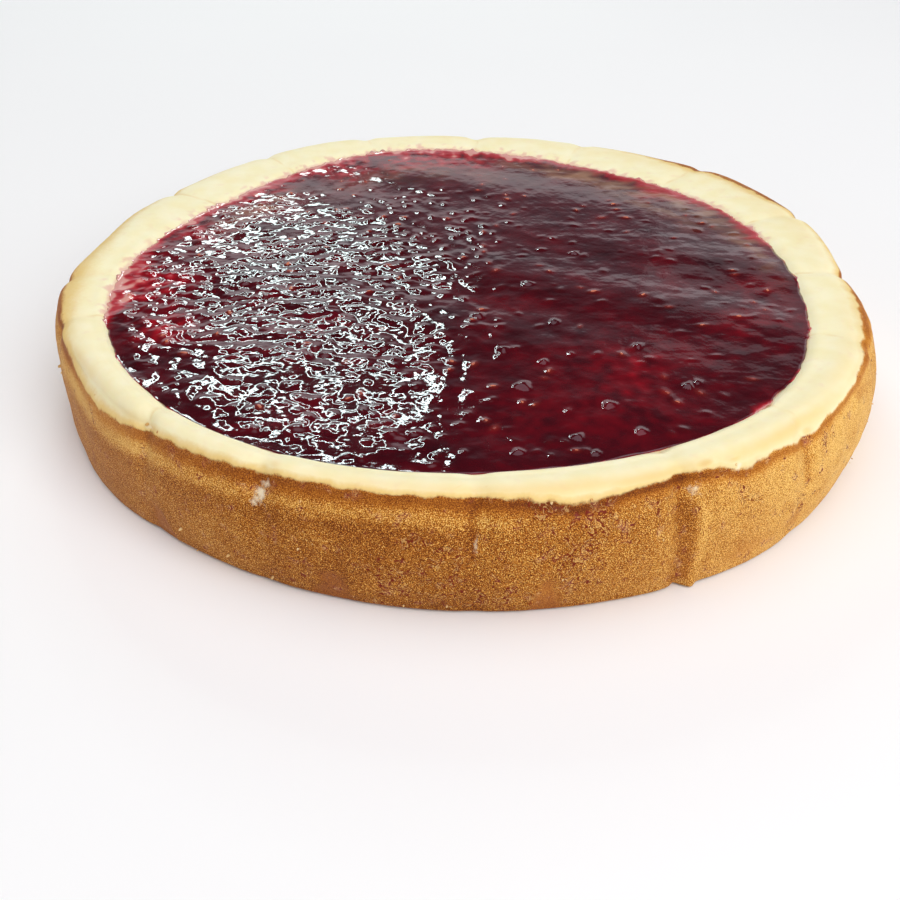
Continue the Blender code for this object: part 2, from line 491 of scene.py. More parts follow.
@dataclass(frozen=True)
class BakedCheese:
    """Baked cheesecake: a dry grained brown crust that melts upward into pale curd.

    The crust gives the eye sandy speckle, bands of light and dark toast and small red-brown
    fissures; the curd is nearly matt and creamy, golden where it meets the brown.
    """

    crust: Stops = (
        (0.0, 0xF0C672),
        (0.2, 0xDDA64E),
        (0.4, 0xC5802E),
        (0.6, 0xA9631B),
        (0.8, 0x874611),
        (1.0, 0x66300D),
    )
    curd: Stops = ((0.3, 0xF5EBBB), (0.7, 0xF9F2CD))
    gold: int = 0xE3BF6C
    blush: int = 0xA57350
    pale: int = 0xF1E3C4
    fissure: int = 0x74220F
    torn_edge: int = 0xE9C17C
    jelly_stain: int = 0xDE9C98
    underside: int = 0x6E4223
    # The crust's own grain, about 0.1 mm, is too fine to show, so it is drawn this coarse.
    grain_mm: float = 0.235
    lump_mm: float = 1.7
    fissure_mm: float = 1.9
    patch_mm: float = 3.4
    mottle_mm: float = 7.0
    ragged_mm: float = 1.0
    relief_mm: float = 0.2
    grain_contrast: float = 1.15
    mottle_contrast: float = 0.09
    roughness: tuple[float, float] = (0.5, 0.72)
    ior: float = 1.45
    specular: float = 0.14
    scatter_share: float = 0.12
    scatter_mm: float = 1.5

    def material(self) -> bpy.types.Material:
        """Build the node tree.

        Returns:
            The material.
        """
        material, tree, shader = new_material("baked_cheese_with_browned_crust")
        names = ("rise", "toast", "grainy", "blush", "fissured")
        names += ("gold", "soft", "pale", "stain", "underside")
        read = {n: add_node(tree, "ShaderNodeAttribute", out="Fac", attribute_name=n) for n in names}
        noise = self.patterns(tree)
        crust = self.toasted(tree, read, noise)
        crust = self.fissured(tree, read, noise, crust)
        colour, curd_share = self.curded(tree, read, noise, crust)
        colour = self.spoilt(tree, read, noise, colour)

        # The skin: lumps and grain stand up in the crust, and hardly at all in the curd.
        inputs = {0: noise["lump"], 1: 1.3, 2: noise["grain"]}
        height = add_node(tree, "ShaderNodeMath", inputs, operation="MULTIPLY_ADD")
        crusty = add_node(tree, "ShaderNodeMapRange", {0: curd_share, 3: 1.0, 4: 0.14})
        crusty = add_node(tree, "ShaderNodeMath", {0: crusty, 1: read["grainy"]}, operation="MULTIPLY")
        height = add_node(tree, "ShaderNodeMath", {0: height, 1: crusty}, operation="MULTIPLY")
        bump = add_node(tree, "ShaderNodeBump", {"Height": height, "Distance": self.relief_mm * MM})
        least, most = self.roughness
        inputs = {0: noise["grain"], 1: 0.2, 2: 0.8, 3: least, 4: most}
        rough = add_node(tree, "ShaderNodeMapRange", inputs)
        for name, value in (("Base Color", colour), ("Roughness", rough), ("Normal", bump)):
            tree.links.new(value, shader.inputs[name])
        shader.inputs["IOR"].default_value = self.ior
        shader.inputs["Specular IOR Level"].default_value = self.specular
        shader.inputs["Subsurface Weight"].default_value = self.scatter_share
        shader.inputs["Subsurface Radius"].default_value = (1.0, 0.6, 0.3)
        shader.inputs["Subsurface Scale"].default_value = self.scatter_mm * MM
        return material

    def patterns(self, tree: bpy.types.NodeTree) -> Sockets:
        """The noises that the finish is made of, each at its own real size.

        Args:
            tree: The material's node tree.

        Returns:
            The noises by name.
        """
        place = add_node(tree, "ShaderNodeTexCoord", out="Object")
        sizes = (("grain", self.grain_mm, 0.0, 0.0), ("lump", self.lump_mm, 2.0, 0.0))
        sizes += (("line", self.fissure_mm, 1.0, 1.0), ("patch", self.patch_mm, 1.0, 0.0))
        sizes += (("mottle", self.mottle_mm, 3.0, 0.0), ("ragged", self.ragged_mm, 2.0, 0.0))
        noise = {}
        for name, size_mm, detail, distortion in sizes:
            inputs = {"Vector": place, "Scale": 1.0 / (size_mm * MM), "Detail": detail}
            inputs["Distortion"] = distortion
            noise[name] = add_node(tree, "ShaderNodeTexNoise", inputs)
        return noise

    def toasted(self, tree: bpy.types.NodeTree, read: Sockets, noise: Sockets) -> bpy.types.NodeSocket:
        """The crust: its tone is the baking plus sandy grain and soft mottling.

        Args:
            tree: The material's node tree.
            read: What the mesh stores.
            noise: The noises.

        Returns:
            The crust's colour.
        """
        inputs = {0: noise["grain"], 3: -self.grain_contrast, 4: self.grain_contrast}
        sandy = add_node(tree, "ShaderNodeMapRange", inputs, clamp=False)
        inputs = {0: sandy, 1: read["grainy"], 2: read["toast"]}
        tone = add_node(tree, "ShaderNodeMath", inputs, operation="MULTIPLY_ADD")
        inputs = {0: noise["mottle"], 3: -self.mottle_contrast, 4: self.mottle_contrast}
        cloudy = add_node(tree, "ShaderNodeMapRange", inputs, clamp=False)
        tone = add_node(tree, "ShaderNodeMath", {0: tone, 1: cloudy}, operation="ADD")
        crust = add_node(tree, "ShaderNodeValToRGB", {"Fac": tone}, stops=self.crust)
        inputs = {0: read["blush"], 6: crust, 7: linear(self.blush)}
        return add_node(tree, "ShaderNodeMix", inputs, 2, data_type="RGBA")

    def fissured(
        self, tree: bpy.types.NodeTree, read: Sockets, noise: Sockets, crust: bpy.types.NodeSocket
    ) -> bpy.types.NodeSocket:
        """Short crinkled red-brown lines with a torn pale edge, thick where the crust cracked.

        Args:
            tree: The material's node tree.
            read: What the mesh stores.
            noise: The noises.
            crust: The crust's colour.

        Returns:
            The colour with the fissures in it.
        """
        inputs = {0: read["fissured"], 1: 0.34, 2: noise["patch"]}
        torn = add_node(tree, "ShaderNodeMath", inputs, operation="MULTIPLY_ADD")
        inputs = {0: torn, 1: 0.62, 2: 0.70}
        torn = add_node(tree, "ShaderNodeMapRange", inputs, interpolation_type="SMOOTHSTEP")
        lines = {}
        for part, middle, half_width in (("dark", 0.5, 0.044), ("edge", 0.580, 0.036)):
            away = add_node(tree, "ShaderNodeMath", {0: noise["line"], 1: middle}, operation="SUBTRACT")
            away = add_node(tree, "ShaderNodeMath", {0: away}, operation="ABSOLUTE")
            inputs = {0: away, 1: 0.3 * half_width, 2: half_width, 3: 1.0, 4: 0.0}
            line = add_node(tree, "ShaderNodeMapRange", inputs, interpolation_type="SMOOTHSTEP")
            lines[part] = add_node(tree, "ShaderNodeMath", {0: torn, 1: line}, operation="MULTIPLY")
        faint = add_node(tree, "ShaderNodeMath", {0: lines["edge"], 1: 0.40}, operation="MULTIPLY")
        inputs = {0: faint, 6: crust, 7: linear(self.torn_edge)}
        crust = add_node(tree, "ShaderNodeMix", inputs, 2, data_type="RGBA")
        inputs = {0: lines["dark"], 6: crust, 7: linear(self.fissure)}
        return add_node(tree, "ShaderNodeMix", inputs, 2, data_type="RGBA")

    def curded(
        self, tree: bpy.types.NodeTree, read: Sockets, noise: Sockets, crust: bpy.types.NodeSocket
    ) -> tuple[bpy.types.NodeSocket, bpy.types.NodeSocket]:
        """The curd over the crust: cream, golden just above the brown.

        Args:
            tree: The material's node tree.
            read: What the mesh stores.
            noise: The noises.
            crust: The crust's colour.

        Returns:
            The colour of both, and the share of curd.
        """
        inputs = {0: noise["ragged"], 1: 1.1, 2: read["rise"]}
        ragged = add_node(tree, "ShaderNodeMath", inputs, operation="MULTIPLY_ADD")
        inputs = {0: ragged, 1: 0.40, 2: 1.40}
        curd_share = add_node(tree, "ShaderNodeMapRange", inputs, interpolation_type="SMOOTHSTEP")
        inputs = {0: ragged, 1: 1.0, 2: 5.0, 3: 0.85, 4: 0.0}
        fringe = add_node(tree, "ShaderNodeMapRange", inputs, interpolation_type="SMOOTHSTEP")
        fringe = add_node(tree, "ShaderNodeMath", {0: fringe, 1: read["soft"]}, operation="MULTIPLY")
        golden = add_node(tree, "ShaderNodeMath", {0: fringe, 1: read["gold"]}, operation="MAXIMUM")
        curd = add_node(tree, "ShaderNodeValToRGB", {"Fac": noise["mottle"]}, stops=self.curd)
        inputs = {0: golden, 6: curd, 7: linear(self.gold)}
        curd = add_node(tree, "ShaderNodeMix", inputs, 2, data_type="RGBA")
        inputs = {0: curd_share, 6: crust, 7: curd}
        return add_node(tree, "ShaderNodeMix", inputs, 2, data_type="RGBA"), curd_share

    def spoilt(
        self, tree: bpy.types.NodeTree, read: Sockets, noise: Sockets, colour: bpy.types.NodeSocket
    ) -> bpy.types.NodeSocket:
        """Ragged places where the crust tore off pale or jelly soaked in, and the underside.

        Args:
            tree: The material's node tree.
            read: What the mesh stores.
            noise: The noises.
            colour: The colour of crust and curd.

        Returns:
            The finished colour.
        """
        spoils = (
            ("pale", "ragged", 0.70, 1.50, 0.9, self.pale),
            ("stain", "patch", 0.62, 1.60, 0.6, self.jelly_stain),
        )
        for spoilt, frayed, low, high, most, tint in spoils:
            inputs = {0: noise[frayed], 1: 1.1, 2: read[spoilt]}
            share = add_node(tree, "ShaderNodeMath", inputs, operation="MULTIPLY_ADD")
            inputs = {0: share, 1: low, 2: high, 3: 0.0, 4: most}
            share = add_node(tree, "ShaderNodeMapRange", inputs, interpolation_type="SMOOTHSTEP")
            inputs = {0: share, 6: colour, 7: linear(tint)}
            colour = add_node(tree, "ShaderNodeMix", inputs, 2, data_type="RGBA")
        inputs = {0: read["underside"], 6: colour, 7: linear(self.underside)}
        return add_node(tree, "ShaderNodeMix", inputs, 2, data_type="RGBA")


@dataclass(frozen=True)
class BakedCrumb:
    """Loose crumbs of the baked cheese: pale and dry, each a little more or less toasted."""

    tones: Stops = ((0.0, 0xEED49C), (0.5, 0xD9AC68), (1.0, 0xA86C32))
    pit_mm: float = 0.4
    relief_mm: float = 0.12
    roughness: float = 0.7
    ior: float = 1.45

    def material(self) -> bpy.types.Material:
        """Build the node tree.

        Returns:
            The material.
        """
        material, tree, shader = new_material("baked_cheese_crumb")
        place = add_node(tree, "ShaderNodeTexCoord", out="Object")
        own = add_node(tree, "ShaderNodeAttribute", out="Fac", attribute_name="own")
        inputs = {"Vector": place, "Scale": 1.0 / (self.pit_mm * MM)}
        pits = add_node(tree, "ShaderNodeTexNoise", inputs)
        tone = add_node(tree, "ShaderNodeMath", {0: pits, 1: own}, operation="MULTIPLY")
        ramp = add_node(tree, "ShaderNodeValToRGB", {"Fac": tone}, stops=self.tones)
        bump = add_node(tree, "ShaderNodeBump", {"Height": pits, "Distance": self.relief_mm * MM})
        tree.links.new(ramp, shader.inputs["Base Color"])
        tree.links.new(bump, shader.inputs["Normal"])
        shader.inputs["Roughness"].default_value = self.roughness
        shader.inputs["IOR"].default_value = self.ior
        return material


@dataclass(frozen=True)
class RaspberryJelly:
    """Set raspberry jelly, poured warm: near-black red where deep, clear red where thin.

    It gives the eye a wet mirror skin whose many small ridges catch the lamps as white squiggles.
    """

    depth: Stops = (
        (0.0, 0xDB9A90),
        (0.14, 0xB8343C),
        (0.32, 0x99101E),
        (0.56, 0x6C0815),
        (0.8, 0x470510),
        (1.0, 0x2C050D),
    )
    seed_glow: int = 0xA23A2A
    # Tan of curd stirred into the jelly, which also paints a tan reflection at the back right.
    milky_and_sheen: int = 0xA07A60
    bloom: int = 0xFBEFFF
    cloud_mm: float = 5.0
    cloud_contrast: float = 0.18
    ripple_mm: float = 1.5
    relief_mm: float = 0.034
    roughness: float = 0.06
    ior: float = 1.5

    def material(self) -> bpy.types.Material:
        """Build the node tree.

        Returns:
            The material.
        """
        material, tree, shader = new_material("set_raspberry_jelly")
        place = add_node(tree, "ShaderNodeTexCoord", out="Object")
        deep = add_node(tree, "ShaderNodeAttribute", out="Fac", attribute_name="deep")
        glow = add_node(tree, "ShaderNodeAttribute", out="Fac", attribute_name="glow")
        inputs = {"Vector": place, "Scale": 1.0 / (self.cloud_mm * MM)}
        inputs |= {"Detail": 3.0, "Distortion": 0.4}
        cloud = add_node(tree, "ShaderNodeTexNoise", inputs)
        inputs = {0: cloud, 3: -self.cloud_contrast, 4: self.cloud_contrast}
        cloud = add_node(tree, "ShaderNodeMapRange", inputs, clamp=False)
        deep = add_node(tree, "ShaderNodeMath", {0: deep, 1: cloud}, operation="ADD")
        colour = add_node(tree, "ShaderNodeValToRGB", {"Fac": deep}, stops=self.depth)
        milky_and_sheen = add_node(tree, "ShaderNodeAttribute", out="Fac", attribute_name="milky_and_sheen")
        for share, tint in ((milky_and_sheen, self.milky_and_sheen), (glow, self.seed_glow)):
            inputs = {0: share, 6: colour, 7: linear(tint)}
            colour = add_node(tree, "ShaderNodeMix", inputs, 2, data_type="RGBA")
        inputs = {"Vector": place, "Scale": 1.0 / (self.ripple_mm * MM), "Detail": 1.5}
        ripple = add_node(tree, "ShaderNodeTexNoise", inputs)
        bump = add_node(tree, "ShaderNodeBump", {"Height": ripple, "Distance": self.relief_mm * MM})
        tree.links.new(colour, shader.inputs["Base Color"])
        tree.links.new(bump, shader.inputs["Normal"])
        shader.inputs["Roughness"].default_value = self.roughness
        shader.inputs["IOR"].default_value = self.ior
        shader.inputs["Specular Tint"].default_value = linear(self.bloom)
        return material


@dataclass(frozen=True)
class RaspberrySeed:
    """Raspberry seeds wet with jelly: hard red-tan drops, each a little different."""

    tones: Stops = ((0.0, 0x6E1A1A), (0.5, 0x98392B), (1.0, 0xC8704F))
    pit_mm: float = 0.5
    pit_contrast: float = 0.4
    relief_mm: float = 0.05
    roughness: float = 0.18
    ior: float = 1.45

    def material(self) -> bpy.types.Material:
        """Build the node tree.

        Returns:
            The material.
        """
        material, tree, shader = new_material("wet_raspberry_seed")
        place = add_node(tree, "ShaderNodeTexCoord", out="Object")
        own = add_node(tree, "ShaderNodeAttribute", out="Fac", attribute_name="own")
        inputs = {"Vector": place, "Scale": 1.0 / (self.pit_mm * MM)}
        pits = add_node(tree, "ShaderNodeTexNoise", inputs)
        inputs = {0: pits, 1: self.pit_contrast, 2: own}
        tone = add_node(tree, "ShaderNodeMath", inputs, operation="MULTIPLY_ADD")
        ramp = add_node(tree, "ShaderNodeValToRGB", {"Fac": tone}, stops=self.tones)
        bump = add_node(tree, "ShaderNodeBump", {"Height": pits, "Distance": self.relief_mm * MM})
        tree.links.new(ramp, shader.inputs["Base Color"])
        tree.links.new(bump, shader.inputs["Normal"])
        shader.inputs["Roughness"].default_value = self.roughness
        shader.inputs["IOR"].default_value = self.ior
        return material


# ---------------------------------------------------------------- the baked body

# Where the brown ends and the pale curd begins: angle, and mm climbed up the side and over. At 30 to
# 50 degrees, on the back right, the brown climbs over the shoulder: partly crust and partly painted
# shade, the shaded band below the curd.
BROWNED_EDGE_AND_SHADE = (
    (-178.0, 35.0),
    (-171.0, 36.2),
    (-163.0, 36.8),
    (-154.0, 32.8),
    (-146.0, 29.4),
    (-140.0, 28.4),
    (-135.0, 29.6),
    (-130.0, 32.2),
    (-120.0, 33.2),
    (-108.0, 34.5),
    (-97.0, 35.3),
    (-84.0, 34.8),
    (-81.0, 33.8),
    (-78.5, 32.2),
    (-76.0, 33.1),
    (-72.0, 34.7),
    (-66.0, 35.3),
    (-60.5, 34.4),
    (-57.5, 31.8),
    (-51.0, 32.8),
    (-45.0, 30.9),
    (-43.0, 32.8),
    (-35.0, 34.4),
    (-27.0, 36.0),
    (-17.0, 38.0),
    (-4.0, 36.6),
    (6.0, 34.6),
    (22.0, 35.0),
    (30.0, 38.6),
    (50.0, 39.0),
    (60.0, 36.0),
    (75.0, 34.2),
    (120.0, 33.4),
    (160.0, 34.2),
)

# How dark each side is baked: angle, and tone from 0, golden, to 1, dark brown.
BAKE = (
    (-160.0, 0.44),
    (-140.0, 0.52),
    (-125.0, 0.58),
    (-112.0, 0.62),
    (-98.0, 0.66),
    (-84.0, 0.60),
    (-72.0, 0.50),
    (-62.0, 0.34),
    (-52.0, 0.19),
    (-38.0, 0.10),
    (-20.0, 0.20),
    (10.0, 0.32),
    (45.0, 0.44),
    (90.0, 0.54),
    (130.0, 0.52),
    (165.0, 0.44),
)

# Sides with a toasted band at the top and a light one below it: middle, half width, share.
BANDED_SIDES = ((-117.0, 37.0, 1.0), (75.0, 50.0, 0.6))

# Upright streaks along the portion marks, dark or light: angle, half width, lowest and highest mm, tone.
# The dark ones are partly the crust's own tone and partly painted shade in the grooves; the light
# ones at -88.4 and -62.7 are painted highlight on the grooves' lit sides.
STREAKS_AND_GROOVE_SHADE = (
    (-65.2, 1.25, 2.0, 30.0, 0.22),
    (-64.1, 0.45, 2.0, 28.0, 0.16),
    (-62.7, 0.50, 2.0, 28.0, -0.14),
    (-89.5, 0.50, 19.0, 34.0, 0.14),
    (-88.4, 0.45, 19.0, 34.0, -0.18),
    (-111.6, 0.9, 2.0, 30.0, 0.08),
    (-45.4, 0.6, 16.0, 31.0, 0.16),
    (24.6, 0.8, 4.0, 33.0, 0.22),
    (112.5, 0.8, 2.0, 30.0, 0.20),
)

# Soft darker or lighter places in the crust: angle, mm up, half sizes in degrees and mm, tone.
TOASTED_SPOTS = (
    (-105.0, 6.0, 2.6, 6.0, 0.10),
    (-98.0, 2.0, 13.0, 4.5, 0.12),
    (-84.0, 2.0, 9.0, 3.5, 0.08),
    (-129.6, 6.0, 1.6, 6.0, 0.10),
    (-25.0, 12.0, 3.0, 2.4, 0.30),
    (-55.5, 8.0, 3.2, 3.4, 0.10),
    (-106.5, 21.0, 2.0, 2.4, -0.14),
    (-150.0, 27.0, 14.0, 3.6, -0.32),
    (-135.0, 25.8, 9.0, 2.2, -0.16),
    (-38.0, 4.0, 9.0, 4.0, 0.12),
    (-53.0, 18.0, 3.0, 2.4, 0.08),
    (-46.6, 7.5, 1.2, 2.6, 0.22),
    (-48.5, 13.5, 1.6, 1.4, 0.16),
    (-42.0, 12.5, 2.2, 1.8, 0.12),
    (-35.0, 20.0, 3.0, 2.6, 0.10),
    (-31.0, 30.5, 2.2, 1.4, 0.16),
    (-41.0, 22.0, 3.4, 3.0, -0.08),
    (-174.0, 29.0, 13.0, 10.0, -0.36),
)

# Flats rubbed smooth where the tin let go, rising from the foot: angle, half width, mm high.
RUBBED_FLATS = (
    (-129.6, 1.8, 12.5),
    (-105.0, 2.4, 13.0),
    (-81.0, 1.8, 15.0),
    (62.0, 2.2, 13.0),
    (131.0, 1.8, 15.0),
)

# Smooth rubbed patches: angle, mm up, half sizes in degrees and mm.
RUBBED_PATCHES = (
    (-55.0, 6.0, 3.2, 3.6),
    (-46.0, 8.0, 2.4, 3.0),
    (-37.0, 12.0, 3.0, 3.4),
    (12.0, 9.0, 4.0, 3.0),
)

# Places full of fissures: angle, mm up, half sizes in degrees and mm, and share.
FISSURED = (
    (-98.0, 11.0, 3.4, 7.0, 0.80),
    (-92.5, 18.0, 3.6, 5.0, 0.62),
    (-92.0, 7.0, 3.4, 5.0, 0.66),
    (-86.5, 7.0, 3.0, 6.0, 0.70),
    (-82.0, 31.5, 3.0, 3.0, 0.90),
    (-77.6, 16.0, 2.2, 9.0, 0.95),
    (-75.5, 26.0, 3.2, 6.0, 0.80),
    (-80.0, 26.0, 1.8, 6.0, 0.75),
    (-69.0, 30.0, 3.5, 4.0, 0.40),
    (-60.0, 34.0, 2.5, 1.6, 0.90),
    (-57.0, 25.0, 1.6, 4.0, 0.75),
    (-47.0, 13.0, 2.4, 4.0, 0.60),
    (-41.0, 28.0, 3.0, 3.0, 0.50),
    (-110.0, 6.0, 3.0, 4.0, 0.40),
    (18.0, 18.0, 7.0, 8.0, 0.70),
    (86.0, 22.0, 8.0, 6.0, 0.75),
    (150.0, 15.0, 6.0, 9.0, 0.70),
)

# Cracks in the crust: the places that each runs through, as angle and mm up.
CRACKS = (
    ((-73.8, 24.6), (-76.0, 23.0), (-78.2, 21.4), (-79.2, 18.8), (-79.6, 16.0)),
    ((-97.0, 23.2), (-95.4, 23.9), (-94.0, 23.6)),
    ((-93.2, 21.6), (-92.2, 21.9), (-91.3, 21.5)),
    ((-58.0, 28.0), (-57.2, 26.0), (-57.5, 23.8), (-55.0, 22.8)),
    ((-82.6, 33.8), (-81.0, 33.4), (-80.0, 34.0)),
    ((-92.2, 36.6), (-91.6, 38.6), (-90.6, 40.4)),
    ((-87.2, 36.2), (-87.4, 38.4), (-88.2, 40.2)),
    ((17.0, 21.0), (19.2, 22.4), (21.0, 21.4)),
    ((84.0, 24.0), (86.5, 25.6), (88.4, 24.4), (90.0, 25.2)),
    ((152.0, 15.0), (153.2, 18.0), (152.6, 21.0)),
)

# Pits, blisters and swells of the crust: angle, mm up, radius in mm, mm out (negative is a pit).
PITS = (
    (-113.2, 17.0, 0.9, -0.5),
    (-112.6, 16.2, 0.9, 0.45),
    (-47.5, 14.5, 0.9, -0.5),
    (-46.4, 11.0, 1.2, -0.6),
    (-60.0, 9.5, 1.0, -0.4),
    (-49.0, 13.0, 0.7, -0.4),
    (-77.4, 15.5, 0.9, 0.5),
    (-78.6, 17.5, 0.8, 0.5),
    (-78.0, 13.5, 0.7, -0.4),
    (-82.6, 8.0, 0.8, 0.5),
    (-82.9, 3.5, 0.8, 0.6),
    (-47.5, 3.2, 1.1, -0.9),
    (-63.2, 1.6, 1.4, 1.2),
    (-64.8, 1.2, 1.3, -1.2),
    (-129.5, 32.6, 0.7, 0.6),
    (-131.6, 32.2, 0.6, 0.5),
    (-107.0, 21.0, 3.0, 0.2),
    (-59.0, 35.4, 1.0, 0.7),
    (-61.8, 36.6, 1.2, 0.4),
    (-41.5, 31.0, 1.2, -0.4),
    (-34.0, 29.0, 1.4, -0.5),
    (20.0, 12.0, 1.3, -0.5),
    (100.0, 18.0, 1.1, -0.5),
    (158.0, 26.0, 1.2, 0.5),
)

# Golden stains in the curd: angle, mm up, half sizes in degrees and mm, and share.
GOLD_STAINS = (
    (-113.4, 35.4, 0.9, 2.0, 0.75),
    (-112.0, 38.0, 0.9, 3.0, 0.40),
    (-88.7, 36.6, 1.4, 1.4, 0.40),
    (-82.0, 37.4, 26.0, 3.6, 0.54),
    (-50.0, 36.4, 15.0, 3.2, 0.66),
    (-69.0, 37.0, 9.0, 3.0, 0.70),
    (-166.0, 39.5, 9.0, 4.0, 0.40),
    (-150.0, 35.5, 8.0, 2.6, 0.40),
    (-62.4, 37.0, 1.6, 2.0, 0.80),
    (-58.4, 35.6, 1.6, 1.2, 0.70),
    (-45.0, 32.8, 0.9, 1.6, 0.60),
    (-159.0, 37.5, 5.0, 3.0, 0.55),
    (-134.0, 33.0, 4.0, 2.0, 0.45),
    (-30.0, 36.6, 6.0, 1.6, 0.35),
    (-30.0, 40.0, 26.0, 4.0, 0.24),
    (24.0, 40.5, 18.0, 4.6, 0.26),
    (52.0, 41.0, 14.0, 4.0, 0.22),
    (-78.0, 40.0, 20.0, 3.0, 0.16),
    (92.0, 41.5, 16.0, 3.0, 0.12),
)

# Crust torn off pale: angle, mm up, half sizes in degrees and mm, and share.
TORN_PALE = (
    (-113.5, 28.4, 0.7, 2.4, 0.95),
    (-114.2, 26.2, 0.5, 1.2, 0.70),
    (-113.0, 31.6, 0.7, 1.6, 0.60),
    (-64.0, 30.4, 0.7, 2.2, 0.60),
    (-58.0, 33.6, 0.5, 1.2, 0.80),
    (-131.2, 33.2, 0.8, 0.8, 0.70),
    (-89.0, 23.0, 0.25, 4.0, 0.45),
)

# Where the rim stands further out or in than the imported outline: angle, half width, and mm.
RIM_NUDGES = ((174.0, 8.0, -1.5), (104.0, 9.0, -1.3), (43.0, 7.0, 1.0))

# Where the foot stands further out than the even rule: angle, half width, and mm.
FOOT_SWELLS = ((-146.0, 15.0, 2.2), (-55.0, 12.0, 1.6))

# Bands of toast below the browned edge: mm below it, half width in mm, and how much darker.
TOAST_BANDS = ((1.2, 1.6, 0.07), (5.6, 2.2, -0.28), (10.0, 2.4, 0.07))


